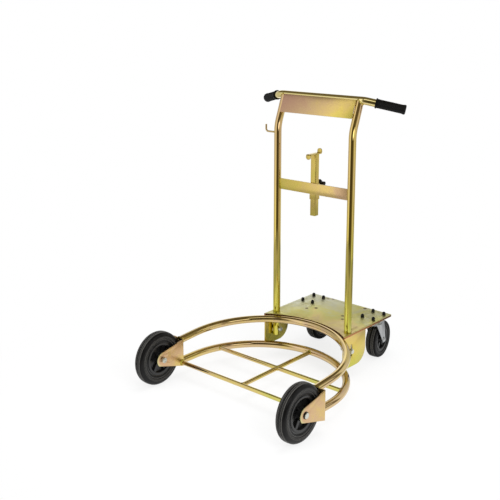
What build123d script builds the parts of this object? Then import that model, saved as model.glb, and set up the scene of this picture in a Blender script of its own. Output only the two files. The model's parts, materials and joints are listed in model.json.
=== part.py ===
from build123d import *
import os
from math import acos, atan2, cos, radians, sin, sqrt, tan

# Drum trolley. Two bent tube rings embrace a drum that stands on a floor of round bars. Folded forks at
# the ring ends hold two fixed wheels, and a deck plate behind the rings stands on two swivel castors.
# Two uprights are bolted to the cheeks of the deck and carry the handlebar.
# The front is -Y, the operator stands at +Y, and z = 0 is the floor. Lengths are in millimetres.

# Frame tube and rings
TUBE_D = 28.0
TUBE_WALL = 2.0
RING_R = 318.5          # centreline radius of both rings
RING_TILT = 3.8         # degrees that the upper ring falls towards the front
RING_DROP = 8.0         # upper ring's centreline below the deck's underside, at the back
LOWER_RING_Z = 57.5     # height of the lower ring and of the floor bars
FLOOR_ROD_D = 16.0
FRONT_ROD_AHEAD = 84.0  # front bar ahead of the ring centre
CROSS_ROD_BACK = 112.0  # cross bar behind the ring centre

# Front wheels and forks
WHEEL_D = 200.0
TYRE_W = 40.0
RIM_D = 134.0
RIM_BORE_D = 102.0      # inside of the rim's outer ring
RIM_WEB_T = 6.0
HUB_D = 46.0
HUB_L = 50.0
BEARING_D = 28.0
BEARING_L = 40.0
AXLE_SLEEVE_D = 20.0
AXLE_D = 12.0
AXLE_AHEAD = 182.0      # front axle ahead of the ring centre
FORK_T = 4.0
FORK_BEND = 3.0         # inside radius of the fork's folds
FORK_NOSE_R = 28.0
FORK_NOSE_CORNER = 6.0
FORK_UNDER = 26.0       # lower edge below the axle
FORK_BOTTOM = 41.0      # rear lower corner above the floor
FORK_LIP = 7.5          # plate corner above the upper ring's centreline
TYRE_GAP = 4.0          # tyre to the fork's web

# Deck and cheeks
DECK_W = 385.0
DECK_T = 8.0
DECK_LAP = 7.0          # deck's arc behind the upper ring's centreline
DECK_L = 321.0          # front corners to the rear edge
DECK_CORNER = 4.0
CHEEK_T = 5.0
CHEEK_INSET = 2.0
CHEEK_L = 142.5         # deck's front corner to the cheek's rear edge
CHEEK_BOTTOM = 52.0
CHEEK_CORNER = 55.0
CHEEK_BOLT_D = 10.0
CHEEK_BOLT_Z = 113.0
CHEEK_SLOT_UP = 22.0    # slot's ends above and below the bolt
CHEEK_SLOT_DOWN = 14.0

# Uprights and handle
UPRIGHT_BACK = 51.5     # uprights behind the deck's front corners
UPRIGHT_BOTTOM = 88.0
BEND_Z = 905.0          # where the uprights start to lean back
BEND_R = 130.0
LEAN = 20.5             # degrees
HANDLEBAR_Z = 1042.0
BAR_BEND_OUT = 18.0     # handlebar's corner outside the upright
BAR_BEND_R = 50.0
SWEEP_BACK = 28.0       # degrees of the bar's ends towards the operator
DROP = 11.5             # degrees of the bar's ends downwards
BAR_REACH = 144.0       # bar's corner to the tube's end
GRIP_L = 108.0
GRIP_D = 33.0
GRIP_FLANGE_D = 37.0
GRIP_END_D = 35.0
GRIP_FLANGE_L = 5.0
GRIP_CAP = 4.0          # grip's closed end beyond the tube
HANDLE_PLATE_W = 328.0
HANDLE_PLATE_H = 70.0
HANDLE_PLATE_T = 3.0
HANDLE_PLATE_DOWN = 3.0  # plate's top edge below the handlebar's axis, along the lean
CROSS_BAR_Z = 705.0
CROSS_BAR_H = 42.0
CROSS_BAR_T = 5.0
HOOK_D = 7.0
HOOK_Z = 900.0
HOOK_REACH = 44.0       # hook's stem outside the upright's wall
HOOK_RISE = 27.0
HOOK_BEND_R = 10.0

# Sliding catch for the drum's top rim
SLEEVE_W = 28.0
SLEEVE_WALL = 2.0
SLEEVE_CORNER = 3.0
SLEEVE_BOTTOM = 663.0
SLEEVE_L = 59.0
SLEEVE_X = -3.5
POST_PLAY = 0.5         # post to sleeve, each side
POST_WALL = 2.0
POST_CORNER = 2.5
POST_BOTTOM = 600.0
POST_L = 232.0
CATCH_W = 20.0
CATCH_T = 4.0
CATCH_AHEAD = 42.5      # front tab's face ahead of the post's axis
CATCH_BEHIND = 30.5     # rear tab's face behind the post's axis
CATCH_DROP = 19.0       # front tab's end below the strip's upper face
CATCH_RISE = 20.0       # rear tab's end above the strip's lower face
CATCH_BEND = 3.0        # inside radius of the strip's folds
CATCH_END_R = 9.5       # rounding of the tabs' ends
KNOB_LOBES = 5
KNOB_D = 48.0
KNOB_LOBE_D = 16.0
KNOB_T = 17.0
KNOB_NECK_D = 20.0
KNOB_NECK_L = 6.0
CLAMP_SCREW_D = 10.0
CLAMP_SCREW_Z = 709.0
CLAMP_SCREW_GRIP = 12.0  # screw's length inside the knob

# Castors
CASTOR_H = 175.0        # floor to the top plate's upper face
CASTOR_INSET_Y = 61.5   # swivel axes ahead of the deck's rear edge
CASTOR_INSET_X = 45.5   # swivel axes inside the deck's side edges
CASTOR_TRAIL = 50.0
CASTOR_TURN = 7.0       # degrees that the right castor stands turned inwards at rest
CASTOR_WHEEL_D = 150.0
CASTOR_TYRE_W = 42.0
CASTOR_RIM_D = 104.0
CASTOR_RIM_BORE_D = 78.0
CASTOR_HUB_D = 32.0
CASTOR_HUB_L = 46.0
CASTOR_SLEEVE_D = 15.0
CASTOR_AXLE_D = 10.0
CASTOR_PLATE_X = 78.0
CASTOR_PLATE_Y = 104.0
CASTOR_PLATE_T = 3.0
CASTOR_PLATE_CORNER = 10.0
CASTOR_HOLES_X = 50.0
CASTOR_HOLES_Y = 75.0
CASTOR_BOLT_D = 8.0
CASTOR_LEG_T = 3.0
CASTOR_CROWN_REAR = 45.0  # crown and legs behind the swivel axis
CASTOR_LEG_FRONT = 20.0   # legs ahead of the swivel axis, at the crown
CASTOR_AXLE_BOSS_R = 12.0
RACE_R = 33.0           # foot of the pressed cups round the king pin
RACE_TOP_R = 29.0
RACE_DEPTH = 4.5
BALL_D = 5.4
BALL_PITCH_R = 20.0
KING_PIN_D = 12.0
KING_PIN_HEAD_D = 22.0
KING_PIN_HEAD_T = 4.0

# Wheel mouldings, with widths as shares of the tyre's width
TREAD_SHARE = 0.5
CASTOR_TREAD_SHARE = 0.64
BEAD_SHARE = 0.9
RIM_SHARE = 0.86
RIB_SHARE = 0.66
TREAD_FALL = 1.5        # from the middle of the tread to its edges
SHOULDER_DROP = 14.0    # from the tread's edges to the sidewalls
CASTOR_SHOULDER_DROP = 9.0
BEAD_STEP = 5.0         # height of the sidewalls' foot
GROOVE_W = 3.0
GROOVE_DEPTH = 2.5
GROOVE_SHARE = 0.5      # groove's place between the tread's middle and edge
RIM_RIBS = 6
RIB_T = 12.0

# Fits and clearances
WELD_GAP = 0.2          # root of a welded joint
SEAT_GAP = 0.3          # tube beside the plate that it is welded or bolted to
HOLE_GAP = 0.25         # bolt in its hole, radius
RUN_GAP = 0.05          # shaft in its bearing, radius
BALL_GAP = 0.3
HUB_PLAY = 1.0          # hub to the fork's plate, each side
GRIP_GAP = 0.05

# Fasteners: sizes as shares of the thread, and the washers' thickness
FLATS_SHARE = 1.6
HEAD_SHARE = 0.48
NUT_SHARE = 0.85
WASHER_SHARE = 2.0
CAP_SHARE = 1.4         # diameter of a capped nut's cap
CAP_RISE_SHARE = 0.8
WASHER_T = 2.0

# Heights and places that follow from the driving dimensions
tube_r = TUBE_D / 2
wheel_r = WHEEL_D / 2
castor_wheel_r = CASTOR_WHEEL_D / 2
front_reach = AXLE_AHEAD + wheel_r
deck_arc_r = RING_R + DECK_LAP
deck_corner = sqrt(deck_arc_r ** 2 - (DECK_W / 2) ** 2)
castor_back = deck_corner + DECK_L - CASTOR_INSET_Y
rear_reach = castor_back + CASTOR_TRAIL + castor_wheel_r
# The ring centre's place puts the origin in the middle of the wheelbase's outline
ring_y = (front_reach - rear_reach) / 2

axle_y = ring_y - AXLE_AHEAD
web_front = axle_y + wheel_r + TYRE_GAP
fork_rear = web_front + FORK_T
fork_gap = HUB_L + 2 * HUB_PLAY
inner_plate_x = RING_R - tube_r - SEAT_GAP
wheel_x = inner_plate_x + fork_gap / 2
fork_half = fork_gap / 2 + FORK_T

deck_bottom = CASTOR_H
deck_top = deck_bottom + DECK_T
deck_front = ring_y + deck_corner
upper_ring_z = deck_bottom - RING_DROP - RING_R * sin(radians(RING_TILT))
fork_top = upper_ring_z + (fork_rear - ring_y) * tan(radians(RING_TILT)) + FORK_LIP

cheek_outer = DECK_W / 2 - CHEEK_INSET
upright_x = cheek_outer - CHEEK_T - SEAT_GAP - tube_r
upright_y = deck_front + UPRIGHT_BACK
lean = radians(LEAN)
lean_top = (upright_y + BEND_R * (1 - cos(lean)), BEND_Z + BEND_R * sin(lean))
handlebar_y = lean_top[0] + (HANDLEBAR_Z - lean_top[1]) * tan(lean)
bar_corner_x = upright_x + BAR_BEND_OUT
bar_end_dir = Vector(
    cos(radians(SWEEP_BACK)) * cos(radians(DROP)),
    sin(radians(SWEEP_BACK)) * cos(radians(DROP)),
    -sin(radians(DROP)),
)
bar_end = Vector(bar_corner_x, handlebar_y, HANDLEBAR_Z) + bar_end_dir * BAR_REACH

cross_bar_y = upright_y - CROSS_BAR_T
post_w = SLEEVE_W - 2 * SLEEVE_WALL - 2 * POST_PLAY
post_y = upright_y + SLEEVE_W / 2
post_top = POST_BOTTOM + POST_L
sleeve_rear = post_y + SLEEVE_W / 2
clamp_nut_h = NUT_SHARE * CLAMP_SCREW_D
knob_front = sleeve_rear + clamp_nut_h + SEAT_GAP

castor_x = DECK_W / 2 - CASTOR_INSET_X
castor_y = ring_y + castor_back
castor_gap = CASTOR_HUB_L + 2 * HUB_PLAY
castor_half = castor_gap / 2 + CASTOR_LEG_T
plate_bottom = CASTOR_H - CASTOR_PLATE_T
upper_race_z = plate_bottom - RACE_DEPTH
lower_race_z = upper_race_z - BALL_D - 2 * BALL_GAP
crown_top = lower_race_z - RACE_DEPTH
crown_bottom = crown_top - CASTOR_LEG_T


def rod(start, end, diameter):
    """Solid round bar between two points."""
    run = Vector(*end) - Vector(*start)
    return extrude(Plane(start, z_dir=run) * Circle(diameter / 2), run.length)


def pipe(start, end, outer_d, inner_d):
    """Straight round pipe between two points."""
    return rod(start, end, outer_d) - rod(start, end, inner_d)


def bar_along(path, diameter):
    """Solid round bar along a path of lines and arcs."""
    return sweep(Plane(path @ 0, z_dir=path % 0) * Circle(diameter / 2), path=path)


def tube_along(path, diameter, wall):
    """Hollow round tube along a path of lines and arcs."""
    section = Circle(diameter / 2) - Circle(diameter / 2 - wall)
    return sweep(Plane(path @ 0, z_dir=path % 0) * section, path=path)


def square_tube(width, wall, corner, length):
    """Square tube standing on the XY plane."""
    outside = RectangleRounded(width, width, corner)
    inside = RectangleRounded(width - 2 * wall, width - 2 * wall, max(corner - wall, wall / 4))
    return extrude(outside - inside, length)


def hexagon(across_flats):
    return RegularPolygon(across_flats / 2, 6, major_radius=False)


def hex_bolt(thread, length):
    """Bolt with the underside of its head on the XY plane and its shank along +Z."""
    head = Pos(0, 0, -HEAD_SHARE * thread) * extrude(hexagon(FLATS_SHARE * thread), HEAD_SHARE * thread)
    return head + extrude(Circle(thread / 2), length)


def hex_nut(thread):
    """Nut standing on the XY plane."""
    return extrude(hexagon(FLATS_SHARE * thread) - Circle(thread / 2 + RUN_GAP), NUT_SHARE * thread)


def washer(thread):
    return extrude(Circle(WASHER_SHARE * thread / 2) - Circle(thread / 2 + HOLE_GAP), WASHER_T)


def facing(origin, direction):
    """Location whose +Z points along a direction."""
    return Plane(origin, z_dir=direction).location


def both_sides(*right):
    """Pieces on the right and their mirror images on the left, as one group."""
    return Compound([*right, *(mirror(piece, about=Plane.YZ) for piece in right)])


def ring_path(leg):
    """Half circle about the origin, open to the front, with a straight leg at each end."""
    left = Line((-RING_R, -leg), (-RING_R, 0))
    back = CenterArc((0, 0), RING_R, 180, -180)
    right = Line((RING_R, 0), (RING_R, -leg))
    return Wire([left, back, right])


upper_place = Pos(0, ring_y, upper_ring_z) * Rot(RING_TILT, 0, 0)
lower_place = Pos(0, ring_y, LOWER_RING_Z)
upper_leg = (ring_y - web_front) / cos(radians(RING_TILT))
lower_leg = ring_y - fork_rear - WELD_GAP
upper_ring = upper_place * tube_along(ring_path(upper_leg), TUBE_D, TUBE_WALL)
lower_ring = lower_place * tube_along(ring_path(lower_leg), TUBE_D, TUBE_WALL)
# Solid copies with the weld root added, for coping what meets the rings
upper_cope = upper_place * bar_along(ring_path(upper_leg), TUBE_D + 2 * WELD_GAP)
lower_cope = lower_place * bar_along(ring_path(lower_leg), TUBE_D + 2 * WELD_GAP)


def floor_rods():
    """Front bar between the forks, cross bar between the ring's sides, centre bar in two lengths."""
    z = LOWER_RING_Z
    front_y = ring_y - FRONT_ROD_AHEAD
    cross_y = ring_y + CROSS_ROD_BACK
    front_x = inner_plate_x - FORK_T - WELD_GAP
    cross_x = sqrt(RING_R ** 2 - CROSS_ROD_BACK ** 2)
    butt = FLOOR_ROD_D / 2 + WELD_GAP
    return {
        "front_rod": rod((-front_x, front_y, z), (front_x, front_y, z), FLOOR_ROD_D),
        "cross_rod": rod((-cross_x, cross_y, z), (cross_x, cross_y, z), FLOOR_ROD_D) - lower_cope,
        "centre_rod_front": rod((0, front_y + butt, z), (0, cross_y - butt, z), FLOOR_ROD_D),
        "centre_rod_rear": rod((0, cross_y + butt, z), (0, ring_y + RING_R, z), FLOOR_ROD_D) - lower_cope,
    }


def fork_outline():
    """Side view of a fork plate: upright rear edge, slanting top and bottom, round nose about the axle."""
    rear_top = (fork_rear, fork_top)
    rear_bottom = (fork_rear, FORK_BOTTOM)
    rise = atan2(wheel_r - FORK_UNDER - FORK_BOTTOM, fork_rear - axle_y)
    # The top edge is tangent to the nose
    over = (fork_rear - axle_y, fork_top - wheel_r)
    start = atan2(over[1], over[0]) + acos(FORK_NOSE_R / sqrt(over[0] ** 2 + over[1] ** 2))
    # The bottom edge runs on below the axle until it meets the nose
    step = FORK_UNDER * sin(rise) + sqrt(FORK_NOSE_R ** 2 - (FORK_UNDER * cos(rise)) ** 2)
    chin = (axle_y - step * cos(rise), wheel_r - FORK_UNDER + step * sin(rise))
    end = atan2(chin[1] - wheel_r, chin[0] - axle_y) % radians(360)

    def nose(angle):
        return (axle_y + FORK_NOSE_R * cos(angle), wheel_r + FORK_NOSE_R * sin(angle))

    outline = make_face([
        Line(rear_bottom, rear_top),
        Line(rear_top, nose(start)),
        ThreePointArc(nose(start), nose((start + end) / 2), chin),
        Line(chin, rear_bottom),
    ])
    corner = outline.vertices().sort_by_distance(chin)[0]
    return fillet(corner, FORK_NOSE_CORNER)


def fork():
    """Right fork: one plate folded round the wheel and notched for the upper ring."""
    front = axle_y - FORK_NOSE_R
    outside = Rectangle(2 * fork_half, fork_rear - front, align=(Align.CENTER, Align.MAX))
    outside = fillet(outside.vertices().group_by(Axis.Y)[-1], FORK_BEND + FORK_T)
    inside = Pos(0, -FORK_T) * Rectangle(fork_gap, fork_rear - front, align=(Align.CENTER, Align.MAX))
    inside = fillet(inside.vertices().group_by(Axis.Y)[-1], FORK_BEND)
    folded = Pos(wheel_x, fork_rear, FORK_BOTTOM) * extrude(outside - inside, fork_top - FORK_BOTTOM)
    side = extrude(Plane.YZ.offset(wheel_x - fork_half) * fork_outline(), 2 * fork_half)
    hole = rod((wheel_x - fork_half, axle_y, wheel_r), (wheel_x + fork_half, axle_y, wheel_r),
               AXLE_D + 2 * HOLE_GAP)
    return (folded & side) - upper_cope - hole


def tyre(outer_d, inner_d, width, tread_share, shoulder_drop):
    """Solid tyre turning about the X axis: grooved tread, bevelled shoulders, sidewalls with a foot."""
    outer = outer_d / 2
    inner = inner_d / 2
    half = width / 2
    edge = half * tread_share
    groove = edge * GROOVE_SHARE
    fall = TREAD_FALL * GROOVE_SHARE
    bead = half * BEAD_SHARE
    right = [
        (groove - GROOVE_W / 2, outer - fall),
        (groove, outer - fall - GROOVE_DEPTH),
        (groove + GROOVE_W / 2, outer - fall),
        (edge, outer - TREAD_FALL),
        ((edge + half) / 2, outer - TREAD_FALL - shoulder_drop / 4),
        (half, outer - TREAD_FALL - shoulder_drop),
        (half, inner + 2 * BEAD_STEP),
        (bead, inner + BEAD_STEP),
        (bead, inner),
    ]
    left = [(-x, r) for x, r in reversed(right)]
    return revolve(make_face(Polyline(*left, (0, outer), *right, close=True)), Axis.X)


def rim(outer_d, bore_d, width, web_t, hub_d, hub_l, hub_bore_d):
    """Moulded rim turning about the X axis: outer ring, middle web, hub and radial ribs."""
    def drum(diameter, length):
        return rod((-length / 2, 0, 0), (length / 2, 0, 0), diameter)

    ring = drum(outer_d, width) - drum(bore_d, width)
    rib_l = (bore_d - hub_d) / 2
    rib = Pos(0, 0, hub_d / 2 + rib_l / 2) * Box(width * RIB_SHARE, RIB_T, rib_l + RIB_T)
    body = ring + drum(bore_d, web_t) + drum(hub_d, hub_l)
    for index in range(RIM_RIBS):
        body += Rot(index * 360 / RIM_RIBS, 0, 0) * rib
    return body - drum(hub_bore_d, hub_l)


def front_wheel():
    """Right front wheel's turning pieces, in place."""
    place = Pos(wheel_x, axle_y, wheel_r)
    half = BEARING_L / 2
    return {
        "tyre": place * tyre(WHEEL_D, RIM_D + 2 * RUN_GAP, TYRE_W, TREAD_SHARE, SHOULDER_DROP),
        "rim": place * rim(RIM_D, RIM_BORE_D, TYRE_W * RIM_SHARE, RIM_WEB_T, HUB_D, HUB_L, BEARING_D),
        "bearing": place * pipe((-half, 0, 0), (half, 0, 0),
                                BEARING_D - 2 * RUN_GAP, AXLE_SLEEVE_D + 2 * RUN_GAP),
    }


def front_axle():
    """Right front axle: bolt from outside, sleeve clamped between the plates, nut inside."""
    outer = wheel_x + fork_half
    inner = wheel_x - fork_half
    length = 2 * fork_half + NUT_SHARE * AXLE_D
    bolt = facing((outer, axle_y, wheel_r), (-1, 0, 0)) * hex_bolt(AXLE_D, length)
    nut = facing((inner, axle_y, wheel_r), (-1, 0, 0)) * hex_nut(AXLE_D)
    half = fork_gap / 2
    sleeve = pipe((wheel_x - half, axle_y, wheel_r), (wheel_x + half, axle_y, wheel_r),
                  AXLE_SLEEVE_D, AXLE_D + 2 * RUN_GAP)
    return {"axle_bolts": [bolt], "axle_nuts": [nut], "axle_sleeves": [sleeve]}


def at_castor_bolts(piece, x=0.0, y=0.0):
    """Copies of a piece at the four bolts of a castor whose swivel axis is at x, y."""
    return [Pos(x, y) * spot * piece for spot in GridLocations(CASTOR_HOLES_X, CASTOR_HOLES_Y, 2, 2)]


def deck():
    """Deck plate: arc front edge on the upper ring, holes for the uprights and the castor bolts."""
    sheet = Pos(0, ring_y) * Rectangle(DECK_W, deck_corner + DECK_L, align=(Align.CENTER, Align.MIN))
    sheet = fillet(sheet.vertices().group_by(Axis.Y)[-1], DECK_CORNER)
    sheet -= Pos(0, ring_y) * Circle(deck_arc_r)
    for side in (-1, 1):
        sheet -= Pos(side * upright_x, upright_y) * Circle(tube_r + SEAT_GAP)
        sheet -= at_castor_bolts(Circle(CASTOR_BOLT_D / 2 + HOLE_GAP), side * castor_x, castor_y)
    return Pos(0, 0, deck_bottom) * extrude(sheet, DECK_T) - upper_cope


def cheek():
    """Right cheek: coped to both rings, big lower rear corner, slot for the upright's bolt."""
    rear = deck_front + CHEEK_L
    sheet = Pos(deck_front, CHEEK_BOTTOM) * Rectangle(
        rear - deck_front, deck_bottom - CHEEK_BOTTOM, align=(Align.MIN, Align.MIN))
    corner = sheet.vertices().sort_by_distance((rear, CHEEK_BOTTOM, 0))[0]
    sheet = fillet(corner, CHEEK_CORNER)
    slot_z = CHEEK_BOLT_Z + (CHEEK_SLOT_UP - CHEEK_SLOT_DOWN) / 2
    slot = SlotCenterToCenter(CHEEK_SLOT_UP + CHEEK_SLOT_DOWN, CHEEK_BOLT_D + 2 * HOLE_GAP, rotation=90)
    sheet -= Pos(upright_y, slot_z) * slot
    plate = extrude(Plane.YZ.offset(cheek_outer - CHEEK_T) * sheet, CHEEK_T)
    return plate - upper_cope - lower_cope


def cheek_fasteners():
    """Right upright's bolt with its head on the cheek, and the washers and nut inside the tube's line."""
    outer = cheek_outer + WASHER_T
    inner = upright_x - tube_r
    spot = (upright_y, CHEEK_BOLT_Z)
    length = outer - inner + WASHER_T + NUT_SHARE * CHEEK_BOLT_D
    bolt = facing((outer, *spot), (-1, 0, 0)) * hex_bolt(CHEEK_BOLT_D, length)
    outer_washer = facing((cheek_outer, *spot), (1, 0, 0)) * washer(CHEEK_BOLT_D)
    inner_washer = facing((inner, *spot), (-1, 0, 0)) * washer(CHEEK_BOLT_D)
    nut = facing((inner - WASHER_T, *spot), (-1, 0, 0)) * hex_nut(CHEEK_BOLT_D)
    return {"cheek_bolts": [bolt], "cheek_washers": [outer_washer, inner_washer], "cheek_nuts": [nut]}


def handlebar_path():
    left_end = (-bar_end.X, bar_end.Y, bar_end.Z)
    corner = (bar_corner_x, handlebar_y, HANDLEBAR_Z)
    left_corner = (-bar_corner_x, handlebar_y, HANDLEBAR_Z)
    return FilletPolyline(left_end, left_corner, corner, bar_end, radius=BAR_BEND_R)


def upright_path():
    """Right upright: vertical, then one bend, then straight to the handlebar's axis."""
    foot = (upright_x, upright_y, UPRIGHT_BOTTOM)
    bend_start = (upright_x, upright_y, BEND_Z)
    half = lean / 2
    bend_mid = (upright_x, upright_y + BEND_R * (1 - cos(half)), BEND_Z + BEND_R * sin(half))
    bend_end = (upright_x, *lean_top)
    head = (upright_x, handlebar_y, HANDLEBAR_Z)
    return Wire([
        Line(foot, bend_start),
        ThreePointArc(bend_start, bend_mid, bend_end),
        Line(bend_end, head),
    ])


handlebar = tube_along(handlebar_path(), TUBE_D, TUBE_WALL)
handlebar_cope = bar_along(handlebar_path(), TUBE_D + 2 * WELD_GAP)
upright_cope = bar_along(upright_path(), TUBE_D + 2 * WELD_GAP)


def upright():
    """Right upright, coped under the handlebar and drilled for the cheek's bolt."""
    near = (upright_x - TUBE_D, upright_y, CHEEK_BOLT_Z)
    far = (upright_x + TUBE_D, upright_y, CHEEK_BOLT_Z)
    drill = rod(near, far, CHEEK_BOLT_D + 2 * HOLE_GAP)
    return tube_along(upright_path(), TUBE_D, TUBE_WALL) - handlebar_cope - drill


def grip():
    """Right grip: sleeve with a flange at each end and a closed outer end."""
    start = GRIP_CAP - GRIP_L
    flange = GRIP_FLANGE_D / 2
    end = GRIP_END_D / 2
    body = GRIP_D / 2
    bore = tube_r + GRIP_GAP
    neck = start + GRIP_FLANGE_L
    tail = GRIP_CAP - GRIP_FLANGE_L
    profile = make_face(Polyline(
        (0, SEAT_GAP), (bore, SEAT_GAP), (bore, start), (flange, start), (flange, neck), (body, neck),
        (body, tail), (end, tail), (end, GRIP_CAP), (0, GRIP_CAP), close=True))
    turned = revolve(Plane.XZ * profile, Axis.Z)
    return facing(bar_end, bar_end_dir) * turned


def handle_plate():
    """Plate on the front of the leaning tubes and of the handlebar."""
    front = (0, -cos(lean), sin(lean))
    plane = Plane((0, handlebar_y, HANDLEBAR_Z), x_dir=(1, 0, 0), z_dir=front)
    middle = -HANDLE_PLATE_DOWN - HANDLE_PLATE_H / 2
    sheet = Pos(0, middle, tube_r + WELD_GAP) * Rectangle(HANDLE_PLATE_W, HANDLE_PLATE_H)
    return extrude(plane * sheet, HANDLE_PLATE_T)


def cross_bar():
    """Flat bar between the uprights, its rear face on their centre plane."""
    centre = Pos(0, cross_bar_y + CROSS_BAR_T / 2, CROSS_BAR_Z)
    bar = centre * Box(2 * upright_x, CROSS_BAR_T, CROSS_BAR_H)
    return bar - upright_cope - mirror(upright_cope, about=Plane.YZ)


def hose_hook():
    """Bent rod welded to the outside of the left upright."""
    stem_x = -(upright_x + tube_r + HOOK_REACH)
    path = FilletPolyline(
        (-upright_x, upright_y, HOOK_Z), (stem_x, upright_y, HOOK_Z),
        (stem_x, upright_y, HOOK_Z + HOOK_RISE), radius=HOOK_BEND_R)
    return bar_along(path, HOOK_D) - mirror(upright_cope, about=Plane.YZ)


def catch_strip():
    """Flat strip on the post: the front tab is folded down behind the drum's rim, the rear tab up."""
    half = CATCH_T / 2
    low = post_top + WELD_GAP
    front = post_y - CATCH_AHEAD + half
    rear = post_y + CATCH_BEHIND - half
    path = FilletPolyline(
        (SLEEVE_X, front, low + CATCH_T - CATCH_DROP), (SLEEVE_X, front, low + half),
        (SLEEVE_X, rear, low + half), (SLEEVE_X, rear, low + CATCH_RISE), radius=CATCH_BEND + half)
    section = Plane(path @ 0, x_dir=(1, 0, 0), z_dir=path % 0) * Rectangle(CATCH_W, CATCH_T)
    strip = sweep(section, path=path)
    along_y = strip.edges().filter_by(Axis.Y)
    ends = along_y.group_by(Axis.Z)[0] + along_y.group_by(Axis.Z)[-1]
    return fillet(ends, CATCH_END_R)


def drum_catch():
    """Sleeve and its nut on the cross bar, sliding post with its strip, clamp knob with its screw."""
    drill = rod((SLEEVE_X, post_y, CLAMP_SCREW_Z), (SLEEVE_X, sleeve_rear, CLAMP_SCREW_Z),
                CLAMP_SCREW_D + 2 * HOLE_GAP)
    sleeve = square_tube(SLEEVE_W, SLEEVE_WALL, SLEEVE_CORNER, SLEEVE_L)
    sleeve = Pos(SLEEVE_X, post_y, SLEEVE_BOTTOM) * sleeve
    nut = facing((SLEEVE_X, sleeve_rear, CLAMP_SCREW_Z), (0, 1, 0)) * hex_nut(CLAMP_SCREW_D)
    post = Pos(SLEEVE_X, post_y, POST_BOTTOM) * square_tube(post_w, POST_WALL, POST_CORNER, POST_L)

    tip = post_y + post_w / 2 + SEAT_GAP
    screw = rod((SLEEVE_X, tip, CLAMP_SCREW_Z), (SLEEVE_X, knob_front + CLAMP_SCREW_GRIP, CLAMP_SCREW_Z),
                CLAMP_SCREW_D)
    lobe_r = KNOB_LOBE_D / 2
    lobes = Circle(KNOB_D / 2 - lobe_r) + PolarLocations(KNOB_D / 2 - lobe_r, KNOB_LOBES) * Circle(lobe_r)
    knob = extrude(Circle(KNOB_NECK_D / 2), KNOB_NECK_L)
    knob += Pos(0, 0, KNOB_NECK_L) * extrude(lobes, KNOB_T)
    knob -= extrude(Circle(CLAMP_SCREW_D / 2 + RUN_GAP), CLAMP_SCREW_GRIP)
    knob = facing((SLEEVE_X, knob_front, CLAMP_SCREW_Z), (0, 1, 0)) * knob
    return {
        "catch_sleeve": sleeve - drill,
        "clamp_nut": nut,
        "catch_post": post,
        "catch_strip": catch_strip(),
        "clamp_screw": screw,
        "clamp_knob": knob,
    }


def cup(low, high, sign, hole_r):
    """Pressed cup round the king pin; sign -1 hangs from the top plate, +1 stands on the crown."""
    foot, top = (high, low) if sign < 0 else (low, high)
    back = foot - sign * CASTOR_LEG_T
    inner = top - sign * CASTOR_LEG_T
    profile = make_face(Polyline(
        (hole_r, top), (RACE_TOP_R, top), (RACE_R, foot), (RACE_R, back), (RACE_R - CASTOR_LEG_T, back),
        (RACE_TOP_R - CASTOR_LEG_T, inner), (hole_r, inner), close=True))
    return revolve(Plane.XZ * profile, Axis.Z)


def ball_ring():
    """Ring of the balls' height on their pitch circle."""
    section = Pos(BALL_PITCH_R, 0) * RegularPolygon(BALL_D / 2, 8, major_radius=False)
    return revolve(Plane.XZ * section, Axis.Z)


def castor_plate():
    """Castor top plate with its bolt holes and a cup for the upper ball race."""
    sheet = RectangleRounded(CASTOR_PLATE_X, CASTOR_PLATE_Y, CASTOR_PLATE_CORNER)
    sheet -= at_castor_bolts(Circle(CASTOR_BOLT_D / 2 + HOLE_GAP))
    sheet -= Circle(RACE_R - CASTOR_LEG_T / 2)
    flat = Pos(0, 0, plate_bottom) * extrude(sheet, CASTOR_PLATE_T)
    return flat + cup(upper_race_z, plate_bottom, -1, KING_PIN_D / 2 + RUN_GAP)


def king_pin():
    """Riveted pin: one head in the plate's cup, the other under the crown's cup."""
    upper_seat = upper_race_z + CASTOR_LEG_T
    lower_seat = lower_race_z - CASTOR_LEG_T - BALL_GAP
    pin = rod((0, 0, lower_seat - KING_PIN_HEAD_T), (0, 0, upper_seat + KING_PIN_HEAD_T), KING_PIN_D)
    pin += rod((0, 0, upper_seat), (0, 0, upper_seat + KING_PIN_HEAD_T), KING_PIN_HEAD_D)
    return pin + rod((0, 0, lower_seat - KING_PIN_HEAD_T), (0, 0, lower_seat), KING_PIN_HEAD_D)


def castor_fork():
    """Pressed fork: crown with the lower ball race and two legs that trail down to the axle."""
    crown = Circle(RACE_R + CASTOR_LEG_T)
    crown += Rectangle(2 * castor_half, CASTOR_CROWN_REAR, align=(Align.CENTER, Align.MIN))
    crown -= Circle(RACE_R - CASTOR_LEG_T / 2)
    body = Pos(0, 0, crown_bottom) * extrude(crown, CASTOR_LEG_T)
    body += cup(crown_top, lower_race_z, 1, KING_PIN_D / 2 + RUN_GAP)
    boss = Pos(CASTOR_TRAIL, castor_wheel_r) * Circle(CASTOR_AXLE_BOSS_R)
    head = Line((-CASTOR_LEG_FRONT, crown_top), (CASTOR_CROWN_REAR, crown_top))
    leg = make_hull(boss.edges() + head.edges())
    leg -= Pos(CASTOR_TRAIL, castor_wheel_r) * Circle(CASTOR_AXLE_D / 2 + HOLE_GAP)
    for inner in (-castor_half, castor_gap / 2):
        body += extrude(Plane.YZ.offset(inner) * leg, CASTOR_LEG_T)
    return body


def castor_mount():
    """Pieces of one castor that stay fixed to the deck, about the swivel axis."""
    return {"castor_plate": castor_plate(), "castor_king_pin": king_pin()}


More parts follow.
